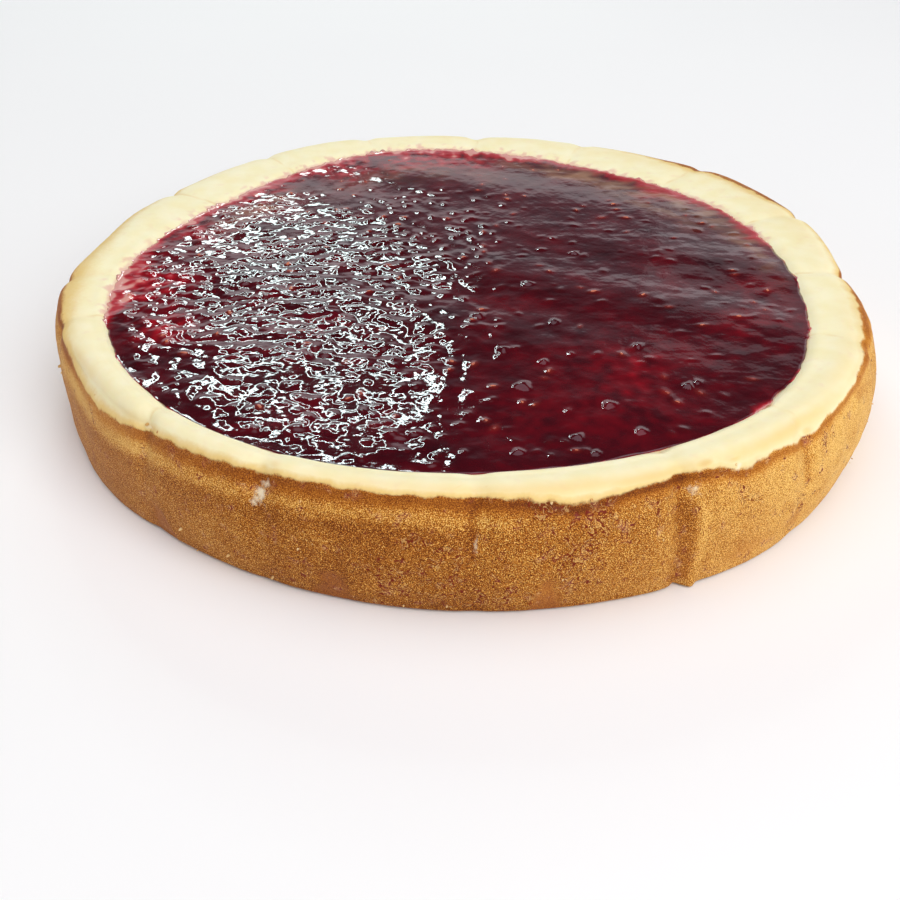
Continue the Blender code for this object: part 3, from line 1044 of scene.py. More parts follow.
@dataclass
class BakedBody:
    """The baked cheese body as one closed fine mesh, with its relief and its browning."""

    form: CakeForm
    shift: np.ndarray
    columns: int = 1080
    side_rows: int = 50
    shoulder_rows: int = 14
    rim_rows: int = 16
    dish_rows: int = 4
    evened_columns: int = 9
    underside_ring: float = 0.7
    under_jelly: float = 3.0 * MM
    swell: float = 0.30 * MM
    lump: float = 0.16 * MM
    pebble: float = 0.06 * MM
    lip: float = 0.25 * MM
    crack_depth: float = 0.30 * MM
    rubbed_depth: float = 0.35 * MM
    foot_swell_height_mm: float = 15.0
    rim_climb_mm: float = 33.0
    # The lumpy right side: its middle and half width in degrees.
    right_side: tuple[float, float] = (-22.0, 30.0)
    edge_toast: float = 0.36
    seam_gold: float = 0.42
    seam_half_width_mm: float = 0.55

    def profile(self) -> tuple[np.ndarray, np.ndarray]:
        """Nominal outline from the underside, up the side, over the rim and into the dish.

        Returns:
            Distance from the axis, and height, of each row of the mesh.
        """
        form = self.form
        points = [(self.underside_ring * form.foot_radius, 0.0)]
        points.append((form.foot_radius - form.foot_round, 0.0))
        for step in (1, 2, 3):
            turn = step * math.pi / 8.0
            across = form.foot_radius - form.foot_round * (1.0 - math.sin(turn))
            points.append((across, form.foot_round * (1.0 - math.cos(turn))))
        for share in np.linspace(0.0, 1.0, self.side_rows + 1):
            height = form.foot_round + share * (form.shoulder_height - form.foot_round)
            points.append((form.side_radius(share), height))
        for turn in np.linspace(0.0, math.pi / 2.0, self.shoulder_rows + 1)[1:]:
            across = form.crest_radius + (form.shoulder_radius - form.crest_radius) * math.cos(turn)
            rise = (form.rim_height - form.shoulder_height) * math.sin(turn)
            points.append((across, form.shoulder_height + rise))
        inner = form.jelly_radius - self.under_jelly
        for across in np.linspace(form.crest_radius, inner, self.rim_rows + 1)[1:]:
            points.append((across, float(form.dish_height(across))))
        for across in np.linspace(inner, form.dish_floor_radius, self.dish_rows + 1)[1:]:
            points.append((across, float(form.dish_height(across))))
        radius, height = np.array(points).T
        return radius, height

    def climb(self, radius: np.ndarray, height: np.ndarray) -> np.ndarray:
        """Distance along the outline from the table, in mm; it equals the height on the side.

        Args:
            radius: Distance from the axis of each row.
            height: Height of each row.

        Returns:
            One number for each row.
        """
        steps = np.hypot(np.diff(radius), np.diff(height))
        along = np.concatenate([[0.0], np.cumsum(steps)])
        start = int(np.argmax(height >= self.form.foot_round))
        return (along - along[start] + height[start]) / MM

    def edge_climb(self, angle: np.ndarray) -> np.ndarray:
        """How far up the brown reaches, in mm.

        Args:
            angle: Evenly spaced degrees all round.

        Returns:
            One number for each angle, evened out over its neighbours.
        """
        at, climbed = np.array(BROWNED_EDGE_AND_SHADE).T
        edge = np.interp(angle, at, climbed, period=360.0)
        weights = np.hanning(self.evened_columns)
        half = self.evened_columns // 2
        padded = np.concatenate([edge[-half:], edge, edge[:half]])
        return np.convolve(padded, weights / weights.sum(), "valid")

    def spots(
        self, table: tuple[tuple[float, ...], ...], angle: np.ndarray, climb: np.ndarray
    ) -> np.ndarray:
        """The strongest soft spot at each place.

        Args:
            table: Angle, mm up, half width, half height and share of each spot.
            angle: Degrees round from +X.
            climb: How far up the outline, in mm.

        Returns:
            A share for each place.
        """
        share = np.zeros(angle.shape)
        for at, up, half_width, half_height, strength in table:
            spot = hump(turn_between(angle, at), half_width) * hump(climb - up, half_height)
            share = np.maximum(share, strength * spot)
        return share

    def crack_distance(self, angle: np.ndarray, climb: np.ndarray) -> np.ndarray:
        """How far each place is from the nearest crack, in mm.

        Args:
            angle: Degrees round from +X.
            climb: How far up the outline, in mm.

        Returns:
            One number for each place.
        """
        degree_mm = self.form.degree_mm()
        nearest = np.full(angle.shape, np.inf)
        for crack in CRACKS:
            for (a1, c1), (a2, c2) in zip(crack, crack[1:]):
                run = np.array([(a2 - a1) * degree_mm, c2 - c1])
                across = turn_between(angle, a1) * degree_mm
                up = climb - c1
                along = np.clip((across * run[0] + up * run[1]) / (run @ run), 0.0, 1.0)
                nearest = np.minimum(nearest, np.hypot(across - along * run[0], up - along * run[1]))
        return nearest

    def rubbed_share(self, angle: np.ndarray, climb: np.ndarray, wobble: np.ndarray) -> np.ndarray:
        """How smooth the crust was rubbed, 0 to 1.

        Args:
            angle: Degrees round from +X.
            climb: How far up the outline, in mm.
            wobble: Relief that frays the edges of the flats.

        Returns:
            A share for each place.
        """
        share = np.zeros(angle.shape)
        for at, half_width, high in RUBBED_FLATS:
            well_in = 1.0 - climb / high - np.abs(turn_between(angle, at)) / half_width
            well_in = well_in + 0.25 * wobble + 0.25
            flat = smooth_step(0.35 + well_in * 1.5) * smooth_step((high - climb) / 4.0)
            share = np.maximum(share, flat)
        for at, up, half_width, half_height in RUBBED_PATCHES:
            spot = hump(turn_between(angle, at), half_width) * hump(climb - up, half_height)
            share = np.maximum(share, 0.75 * spot)
        return share

    def right_share(self, angle: np.ndarray) -> np.ndarray:
        """How much of the lumpy, less sandy right side a place is on, 0 to 1."""
        middle, half_width = self.right_side
        return hump(turn_between(angle, middle), half_width)

    def toast(self, angle: np.ndarray, climb: np.ndarray, points: np.ndarray) -> np.ndarray:
        """How dark the crust is baked: 0 golden, 1 dark brown.

        Args:
            angle: Degrees round from +X.
            climb: How far up the outline, in mm.
            points: The places, with x, y and z on the last axis.

        Returns:
            One number for each place.
        """
        at, baked = np.array(BAKE).T
        tone = np.interp(angle, at, baked, period=360.0)
        banded = np.zeros(angle.shape)
        for middle, half_width, share in BANDED_SIDES:
            reach = (half_width - np.abs(turn_between(angle, middle))) / 9.0
            banded = np.maximum(banded, share * smooth_step(reach))
        below = self.edge_climb(angle[0])[None, :] - climb
        bands = sum(darker * hump(below - down, wide) for down, wide, darker in TOAST_BANDS)
        plain = self.edge_toast * hump(below - 0.9, 1.5)
        tone += banded * bands + (1.0 - banded) * plain
        right = self.right_share(angle)
        tone += 0.07 * Relief(11).at(points, 19.0 * MM)
        tone += (0.04 + 0.08 * right) * Relief(12).at(points, 6.0 * MM)
        tone += (0.02 + 0.05 * right) * Relief(13).at(points, 2.6 * MM) + 0.03 * (1.0 - right)
        for at, up, half_width, half_height, darker in TOASTED_SPOTS:
            tone += darker * hump(turn_between(angle, at), half_width) * hump(climb - up, half_height)
        # Darker along each portion mark, the more the deeper it is: painted shade in the grooves.
        for at, (_, depth, reach) in zip(self.form.mark_angles(), MARKS):
            fade = 1.0 - 0.7 * smooth_step((1.0 - climb / self.rim_climb_mm) / reach)
            tone += 0.07 * depth * fade * hump(turn_between(angle, at), 0.8)
        # Streaks along the marks: partly the crust's tone, partly painted shade and painted highlight.
        for at, half_width, low, high, darker in STREAKS_AND_GROOVE_SHADE:
            upright = smooth_step((climb - low) / 3.0) * smooth_step((high - climb) / 4.0)
            tone += darker * upright * hump(turn_between(angle, at), half_width)
        return tone

    def pushed(
        self, angle: np.ndarray, climb: np.ndarray, points: np.ndarray, rubbed: np.ndarray
    ) -> np.ndarray:
        """How far the crust stands out of its even outline, its pits and cracks included.

        Args:
            angle: Degrees round from +X.
            climb: How far up the outline, in mm.
            points: The places, with x, y and z on the last axis.
            rubbed: How smooth each place was rubbed.

        Returns:
            Distance outward at each place.
        """
        on_side = smooth_step(climb / 3.0) * smooth_step((38.0 - climb) / 5.0)
        on_rim = smooth_step((climb - 34.0) / 5.0)
        rise = climb - self.edge_climb(angle[0])[None, :]
        push = self.swell * Relief(1).at(points, 26.0 * MM) * (on_side + 0.4 * on_rim)
        push += self.lump * Relief(2).at(points, 8.0 * MM) * (on_side + 0.5 * on_rim)
        push += self.pebble * Relief(3).at(points, 2.4 * MM) * on_side * (1.0 - rubbed)
        push += self.lump * self.right_share(angle) * Relief(5).at(points, 5.0 * MM) * on_side
        push -= self.rubbed_depth * rubbed * smooth_step((30.0 - climb) / 5.0) * smooth_step(climb / 2.0)
        push -= self.crack_depth * hump(self.crack_distance(angle, climb), 0.55) * (rise < 1.0)
        push += self.lip * hump(rise - 0.9, 0.9) * on_side
        for at, up_mm, wide_mm, out_mm in PITS:
            away = np.hypot(turn_between(angle, at) * self.form.degree_mm(), climb - up_mm)
            push += out_mm * MM * hump(away, wide_mm)
        for at, half_width, out_mm in FOOT_SWELLS:
            low = smooth_step(1.0 - climb / self.foot_swell_height_mm) * smooth_step(0.4 + climb / 2.0)
            push += out_mm * MM * low * hump(turn_between(angle, at), half_width)
        return push

    def seam(self, angle: np.ndarray, climb: np.ndarray, points: np.ndarray) -> np.ndarray:
        """The faint golden line that each portion mark leaves on the rim, broken here and there.

        Args:
            angle: Degrees round from +X.
            climb: How far up the outline, in mm.
            points: The places, with x, y and z on the last axis.

        Returns:
            How golden each place is.
        """
        marks = self.form.mark_angles()
        nearest = marks[np.argmin(np.abs(turn_between(angle[0][:, None], marks[None, :])), axis=1)]
        across = turn_between(angle, nearest[None, :]) * self.form.degree_mm()
        wander = 0.6 * Relief(14).at(points, 5.0 * MM)
        broken = smooth_step(0.55 + 1.1 * Relief(15).at(points, 6.0 * MM))
        line = self.seam_gold * hump(across - wander, self.seam_half_width_mm)
        return line * broken * smooth_step((climb - self.rim_climb_mm) / 3.0)

    def closed_faces(self, rows: int) -> list[tuple[int, ...]]:
        """Quads between the rows, and fans that close the underside and the dish.

        Args:
            rows: How many rows of vertices there are; the two fans' middles come after them.

        Returns:
            The vertex numbers of each face.
        """
        faces = ring_faces(rows, self.columns)
        low = rows * self.columns
        top = low - self.columns
        for column in range(self.columns):
            after = (column + 1) % self.columns
            faces.append((low, after, column))
            faces.append((low + 1, top + column, top + after))
        return faces

    def build(self) -> bpy.types.Object:
        """Make the mesh, store what its material reads, and ride it on the cake's body.

        Returns:
            The piece.
        """
        radius, height = self.profile()
        rows = len(radius)
        angle = np.linspace(-180.0, 180.0, self.columns, endpoint=False)[None, :].repeat(rows, 0)
        climb = self.climb(radius, height)[:, None].repeat(self.columns, 1)
        out, up = self.form.place(radius[:, None], angle, height[:, None])
        upper = smooth_step(climb / 24.0) * smooth_step((radius[:, None] / MM - 107.0) / 9.0)
        for at, half_width, out_mm in RIM_NUDGES:
            out = out + out_mm * MM * upper * hump(turn_between(angle, at), half_width)
        turn = np.radians(angle)
        smooth = np.stack([out * np.cos(turn), out * np.sin(turn), up], -1)
        wobble = Relief(4).at(smooth, 4.0 * MM)
        rubbed = self.rubbed_share(angle, climb, wobble)

        slope = np.stack([np.gradient(height), -np.gradient(radius)], -1)
        slope /= np.linalg.norm(slope, axis=1, keepdims=True)
        push = self.pushed(angle, climb, smooth, rubbed)
        real_out = out + push * slope[:, 0][:, None]
        real_up = np.maximum(up + push * slope[:, 1][:, None], 0.0)
        points = np.stack([real_out * np.cos(turn), real_out * np.sin(turn), real_up], -1)
        ends = np.array([[0.0, 0.0, 0.0], [0.0, 0.0, height[-1]]])
        points = inside(np.vstack([points.reshape(-1, 3), ends]) - self.shift)
        faces = self.closed_faces(rows)
        piece = new_piece("baked_cheese_body", points, faces, BakedCheese().material())

        past = np.maximum(out - self.form.jelly_edge(angle), 0.0) / MM
        smeared = np.minimum(self.form.smear(angle) / MM / 3.0, 1.0)
        blotch = smooth_step((Relief(16).at(smooth, 3.0 * MM) - 0.05) * 3.0) * hump(past, 2.6)
        from_crack = self.crack_distance(angle, climb)
        cracked = 1.4 * hump(from_crack, 1.1)
        seams = np.maximum(self.seam(angle, climb, smooth), 0.45 * hump(from_crack, 0.35))
        gold = np.maximum(self.spots(GOLD_STAINS, angle, climb), seams)
        left = smooth_step((-112.0 - angle) / 34.0) + smooth_step((angle - 100.0) / 60.0)
        rise = climb - self.edge_climb(angle[0])[None, :]
        calm = (1.0 - 0.55 * hump(rise + 1.2, 2.6)) * (1.0 - 0.55 * rubbed) * (1.0 - 0.24 * left)
        stored = {
            "rise": (rise + 0.8 * wobble) * (1.0 - 0.6 * hump(turn_between(angle, -172.0), 24.0)),
            "toast": self.toast(angle, climb, smooth),
            "grainy": calm * (1.0 - 0.35 * self.right_share(angle)),
            "blush": np.clip(0.24 * left + 0.16 * rubbed, 0.0, 0.6),
            "fissured": np.maximum(self.spots(FISSURED, angle, climb), cracked),
            "gold": gold,
            "soft": 1.0 - 0.7 * hump(turn_between(angle, -38.0), 24.0),
            "pale": self.spots(TORN_PALE, angle, climb + 0.7 * wobble),
            "stain": smeared * np.maximum(0.75 * hump(past, 0.7), 0.95 * blotch),
            "underside": smooth_step((0.6 - real_up / MM) / 0.6),
        }
        for name, values in stored.items():
            put_attribute(piece, name, values)
        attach(piece, BODY)
        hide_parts("cheesecake")
        LOG.info("%s: %d faces", piece.name, len(piece.data.polygons))
        return piece


# ---------------------------------------------------------------- seeds and crumbs


@dataclass
class Sprinkle:
    """Small things of one kind, set on points by Geometry Nodes and made into one plain mesh."""

    name: str
    slot: Slot
    length: float
    width: float
    thickness: float

    def shape(self, tree: bpy.types.NodeTree) -> bpy.types.NodeSocket:
        """One thing of the kind, a unit long."""
        raise NotImplementedError

    def node_group(self, material: bpy.types.Material) -> bpy.types.NodeTree:
        """The tree that sets the shape on every point.

        Args:
            material: The finish.

        Returns:
            The tree, with Length, Width and Thickness as inputs.
        """
        tree = bpy.data.node_groups.new(f"{self.name}_on_points", "GeometryNodeTree")
        panel = tree.interface
        panel.new_socket("Geometry", in_out="INPUT", socket_type="NodeSocketGeometry")
        for name in ("Length", "Width", "Thickness"):
            panel.new_socket(name, in_out="INPUT", socket_type="NodeSocketFloat")
        panel.new_socket("Geometry", in_out="OUTPUT", socket_type="NodeSocketGeometry")
        points = add_node(tree, "NodeGroupInput")
        given = points.node.outputs
        inputs = {0: given["Length"], 1: given["Width"], 2: given["Thickness"]}
        size = add_node(tree, "ShaderNodeCombineXYZ", inputs)
        inputs = {"Geometry": self.shape(tree), "Scale": size}
        sized = add_node(tree, "GeometryNodeTransform", inputs)
        kind = "GeometryNodeInputNamedAttribute"
        turn = add_node(tree, kind, {"Name": "turn"}, data_type="FLOAT_VECTOR")
        scale = add_node(tree, kind, {"Name": "size"}, data_type="FLOAT")
        rotation = add_node(tree, "FunctionNodeEulerToRotation", {0: turn})
        inputs = {"Points": points, "Instance": sized, "Rotation": rotation, "Scale": scale}
        placed = add_node(tree, "GeometryNodeInstanceOnPoints", inputs)
        real = add_node(tree, "GeometryNodeRealizeInstances", {0: placed})
        smooth = add_node(tree, "GeometryNodeSetShadeSmooth", {0: real})
        inputs = {"Geometry": smooth, "Material": material}
        finished = add_node(tree, "GeometryNodeSetMaterial", inputs)
        add_node(tree, "NodeGroupOutput", {0: finished})
        return tree

    def build(
        self, points: np.ndarray, stored: dict[str, np.ndarray], material: bpy.types.Material
    ) -> bpy.types.Object:
        """Set the things on their points and make them one plain mesh.

        Args:
            points: One row of x, y and z for each thing.
            stored: turn, as three angles in radians, and size and own, as one number, for each.
            material: The finish.

        Returns:
            The things as one piece.
        """
        mesh = bpy.data.meshes.new(self.name)
        mesh.from_pydata(points.tolist(), [], [])
        turns = mesh.attributes.new("turn", "FLOAT_VECTOR", "POINT")
        turns.data.foreach_set("vector", stored["turn"].ravel())
        for name in ("size", "own"):
            mesh.attributes.new(name, "FLOAT", "POINT").data.foreach_set("value", stored[name])
        piece = bpy.data.objects.new(self.name, mesh)
        bpy.context.scene.collection.objects.link(piece)
        tree = self.node_group(material)
        modifier = piece.modifiers.new("set_on_points", "NODES")
        modifier.node_group = tree
        sizes = {"Length": self.length, "Width": self.width, "Thickness": self.thickness}
        for socket in tree.interface.items_tree:
            if socket.name in sizes:
                modifier[socket.identifier] = sizes[socket.name]
        bpy.context.view_layer.update()
        ready = piece.evaluated_get(bpy.context.evaluated_depsgraph_get())
        plain = bpy.data.meshes.new_from_object(ready)
        piece.modifiers.clear()
        piece.data = plain
        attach(piece, BODY)
        LOG.info("%s: %d faces", piece.name, len(plain.polygons))
        return piece


@dataclass
class Seeds(Sprinkle):
    """Raspberry seeds: drops that lie in the jelly's skin, most of them under it."""

    name: str = "raspberry_seeds"
    slot: Slot = Slot.SEED
    length: float = 2.2 * MM
    width: float = 1.15 * MM
    thickness: float = 0.9 * MM
    taper: float = 0.7
    blunt: float = 0.85
    number: int = 700
    spacing: float = 2.6 * MM
    sunk: float = 0.30 * MM
    off_edge: float = 3.0 * MM
    shown: float = 0.09
    shown_more_right: float = 0.30
    random_seed: int = 7

    def scatter(self, form: CakeForm) -> dict[str, np.ndarray]:
        """Throw the seeds one by one, more to the left, none on another.

        Args:
            form: The cake's outline.

        Returns:
            x and y of each seed, its heading, size, own tone, and whether it shows.
        """
        rng = np.random.default_rng(self.random_seed)
        clumps = Relief(21)
        kept: list[tuple[float, float]] = []
        while len(kept) < self.number:
            turn = rng.uniform(0.0, 2.0 * math.pi)
            share = math.sqrt(rng.uniform(0.0, 1.0))
            reach = (float(form.jelly_edge(np.degrees(turn))) - self.off_edge) * share
            x = reach * math.cos(turn)
            y = reach * math.sin(turn)
            crowd = 0.50 + 0.70 * float(clumps.at(np.array([x, y, 0.0]), 15.0 * MM))
            likely = crowd * (0.16 + 0.84 * float(smooth_step((0.035 - x) / 0.07)))
            if rng.uniform() > likely:
                continue
            if kept and np.min(np.hypot(*(np.array(kept) - (x, y)).T)) < self.spacing:
                continue
            kept.append((x, y))
        places = np.array(kept)
        chance = self.shown + self.shown_more_right * (places[:, 0] > 0.0)
        return {
            "x": places[:, 0],
            "y": places[:, 1],
            "heading": rng.uniform(0.0, math.pi, self.number),
            "size": rng.uniform(0.72, 1.14, self.number),
            "shows": rng.uniform(0.0, 1.0, self.number) < chance,
            "own": rng.uniform(0.0, 1.0, self.number),
        }

    def shape(self, tree: bpy.types.NodeTree) -> bpy.types.NodeSocket:
        """A ball drawn out to a blunt point at one end.

        Args:
            tree: The tree that it is made in.

        Returns:
            The socket that gives the shape.
        """
        ball = add_node(tree, "GeometryNodeMeshUVSphere", {"Segments": 10, "Rings": 6, "Radius": 0.5})
        at = add_node(tree, "GeometryNodeInputPosition")
        parts = add_node(tree, "ShaderNodeSeparateXYZ", {0: at}).node.outputs
        inputs = {0: parts[0], 1: -self.taper, 2: self.blunt}
        taper = add_node(tree, "ShaderNodeMath", inputs, operation="MULTIPLY_ADD")
        side = add_node(tree, "ShaderNodeMath", {0: parts[1], 1: taper}, operation="MULTIPLY")
        tall = add_node(tree, "ShaderNodeMath", {0: parts[2], 1: taper}, operation="MULTIPLY")
        drawn = add_node(tree, "ShaderNodeCombineXYZ", {0: parts[0], 1: side, 2: tall})
        return add_node(tree, "GeometryNodeSetPosition", {"Geometry": ball, "Position": drawn})

    def place(
        self, found: dict[str, np.ndarray], height: np.ndarray, shift: np.ndarray
    ) -> bpy.types.Object:
        """Make the seeds that show.

        Args:
            found: What scatter gave.
            height: Height of the jelly's skin at each seed.
            shift: How far the cake moves so that it is centred.

        Returns:
            The seeds as one piece.
        """
        rng = np.random.default_rng(self.random_seed + 1)
        show = found["shows"]
        points = np.stack([found["x"], found["y"], height - self.sunk], -1)[show] - shift
        tilt = rng.uniform(-0.25, 0.25, len(points))
        turn = np.stack([tilt, tilt[::-1], found["heading"][show]], -1)
        stored = {"turn": turn, "size": found["size"][show], "own": found["own"][show]}
        return self.build(points, stored, RaspberrySeed().material())


# Crumbs that stuck to the side: angle, mm up, and size in mm.
STUCK_CRUMBS = (
    (-125.6, 7.6, 1.1),
    (-118.4, 6.0, 1.1),
    (-127.6, 19.0, 0.7),
    (-112.7, 3.0, 1.0),
    (-108.6, 16.4, 0.8),
    (-131.8, 33.0, 1.4),
    (-129.0, 33.8, 0.9),
    (-81.0, 34.2, 1.2),
    (-76.6, 33.4, 1.2),
    (-70.0, 35.9, 0.9),
    (-60.0, 35.6, 1.5),
    (-58.4, 34.6, 1.3),
    (-63.0, 1.2, 1.6),
    (-143.0, 30.4, 0.8),
    (-160.5, 20.0, 1.8),
    (-161.5, 16.5, 1.4),
)


@dataclass
class Crumbs(Sprinkle):
    """Crumbs of the baked cheese: small rough lumps stuck to the side, some listed one by one and some
    by chance.
    """

    name: str = "baked_cheese_crumbs"
    slot: Slot = Slot.BAKED
    length: float = 1.0 * MM
    width: float = 0.75 * MM
    thickness: float = 0.6 * MM
    roughness: float = 0.42
    half_crumb: float = 0.55 * MM
    # Past the shoulder: how far a crumb climbs, and how far in and up that takes it.
    rim_way_mm: tuple[float, float, float] = (6.0, 4.0, 2.6)
    strays: int = 110
    stray_climb_mm: tuple[float, float] = (1.0, 32.0)
    stray_size_mm: tuple[float, float] = (0.25, 0.75)
    random_seed: int = 17

    def shape(self, tree: bpy.types.NodeTree) -> bpy.types.NodeSocket:
        """A lump pushed out of round by noise.

        Args:
            tree: The tree that it is made in.

        Returns:
            The socket that gives the shape.
        """
        ball = add_node(tree, "GeometryNodeMeshIcoSphere", {"Radius": 0.5, "Subdivisions": 2})
        noise = add_node(tree, "ShaderNodeTexNoise", {"Scale": 2.6, "Detail": 1.0}, "Color")
        inputs = {0: noise, 1: (0.5, 0.5, 0.5)}
        middle = add_node(tree, "ShaderNodeVectorMath", inputs, operation="SUBTRACT")
        inputs = {0: middle, "Scale": 2.0 * self.roughness}
        push = add_node(tree, "ShaderNodeVectorMath", inputs, operation="SCALE")
        return add_node(tree, "GeometryNodeSetPosition", {"Geometry": ball, "Offset": push})

    def place(self, form: CakeForm, shift: np.ndarray) -> bpy.types.Object:
        """Stick the crumbs to the side.

        Args:
            form: The cake's outline.
            shift: How far the cake moves so that it is centred.

        Returns:
            The crumbs as one piece.
        """
        rng = np.random.default_rng(self.random_seed)
        stray = np.stack(
            [
                rng.uniform(-180.0, 180.0, self.strays),
                rng.uniform(*self.stray_climb_mm, self.strays),
                rng.uniform(*self.stray_size_mm, self.strays),
            ],
            -1,
        )
        angle, climb, size = np.vstack([np.array(STUCK_CRUMBS), stray]).T
        share = np.clip(climb * MM / form.shoulder_height, 0.0, 1.0)
        way, inward, rise = self.rim_way_mm
        over = np.clip((climb * MM - form.shoulder_height) / (way * MM), 0.0, 1.0)
        radius = form.side_radius(share) - over**2 * inward * MM
        height = share * form.shoulder_height + over * rise * MM
        out, up = form.place(radius, angle, height)
        turn = np.radians(angle)
        points = np.stack([out * np.cos(turn), out * np.sin(turn), up], -1) - shift
        points = inside(points, self.half_crumb)
        turns = np.stack([rng.uniform(0.0, 0.8, len(size)), rng.uniform(0.0, 0.8, len(size)), turn], -1)
        stored = {"turn": turns, "size": size, "own": rng.uniform(0.2, 1.6, len(size))}
        return self.build(points, stored, BakedCrumb().material())


# ---------------------------------------------------------------- the jelly

# Thin places where the jelly shines clear red: x, y and half width in mm, and how thin.
THIN_PLACES = (
    (42.0, -60.0, 12.0, 0.22),
    (46.0, -66.0, 36.0, 0.10),
    (42.0, -84.0, 11.0, 0.16),
    (78.0, -42.0, 13.0, 0.12),
    (14.0, -90.0, 12.0, 0.16),
    (86.0, -12.0, 9.0, 0.10),
    (-93.0, 21.0, 13.0, 0.54),
    (-74.0, 48.0, 12.0, 0.46),
    (-50.0, 80.0, 12.0, 0.50),
    (-26.0, 90.0, 12.0, 0.50),
    (-4.0, 94.0, 12.0, 0.52),
    (16.0, 98.0, 8.0, 0.40),
    (-98.0, -18.0, 14.0, 0.66),
    (-87.0, -47.0, 12.0, 0.50),
    (-60.0, -46.0, 10.0, 0.14),
    (88.0, -30.0, 12.0, 0.14),
)

# Bands where curd stirred into the jelly turns it milky tan, and where a tan reflection is painted in at
# the back right: angle, half width, mm in from the edge, half depth in mm, and share.
MILKY_AND_SHEEN_BANDS = (
    (62.0, 20.0, 10.0, 5.0, 0.85),
    (36.0, 16.0, 8.0, 4.0, 0.80),
    (14.0, 12.0, 6.0, 3.0, 0.60),
    (40.0, 14.0, 19.0, 3.0, 0.45),
    (150.0, 12.0, 14.0, 5.0, 0.55),
    (104.0, 26.0, 24.0, 8.0, 0.25),
)

# Bubbles that set in the skin: x, y and half width in mm, and mm high.
BUBBLES = (
    (9.0, -54.0, 1.7, 0.90),
    (14.0, -73.0, 2.2, 1.00),
    (27.0, -97.0, 1.6, 0.80),
    (31.0, -104.0, 1.3, 0.70),
    (2.0, -34.0, 1.9, 0.90),
    (24.0, -36.0, 1.5, 0.80),
    (36.0, -82.0, 1.8, 0.90),
    (47.0, -50.0, 1.5, 0.80),
    (58.0, -71.0, 1.6, 0.80),
    (61.0, -69.0, 1.2, 0.60),
    (17.0, -12.0, 1.5, 0.75),
    (33.0, 12.0, 1.4, 0.70),
    (20.0, -60.0, 1.3, 0.70),
    (43.0, -94.0, 1.5, 0.80),
    (12.0, -104.0, 1.5, 0.70),
)


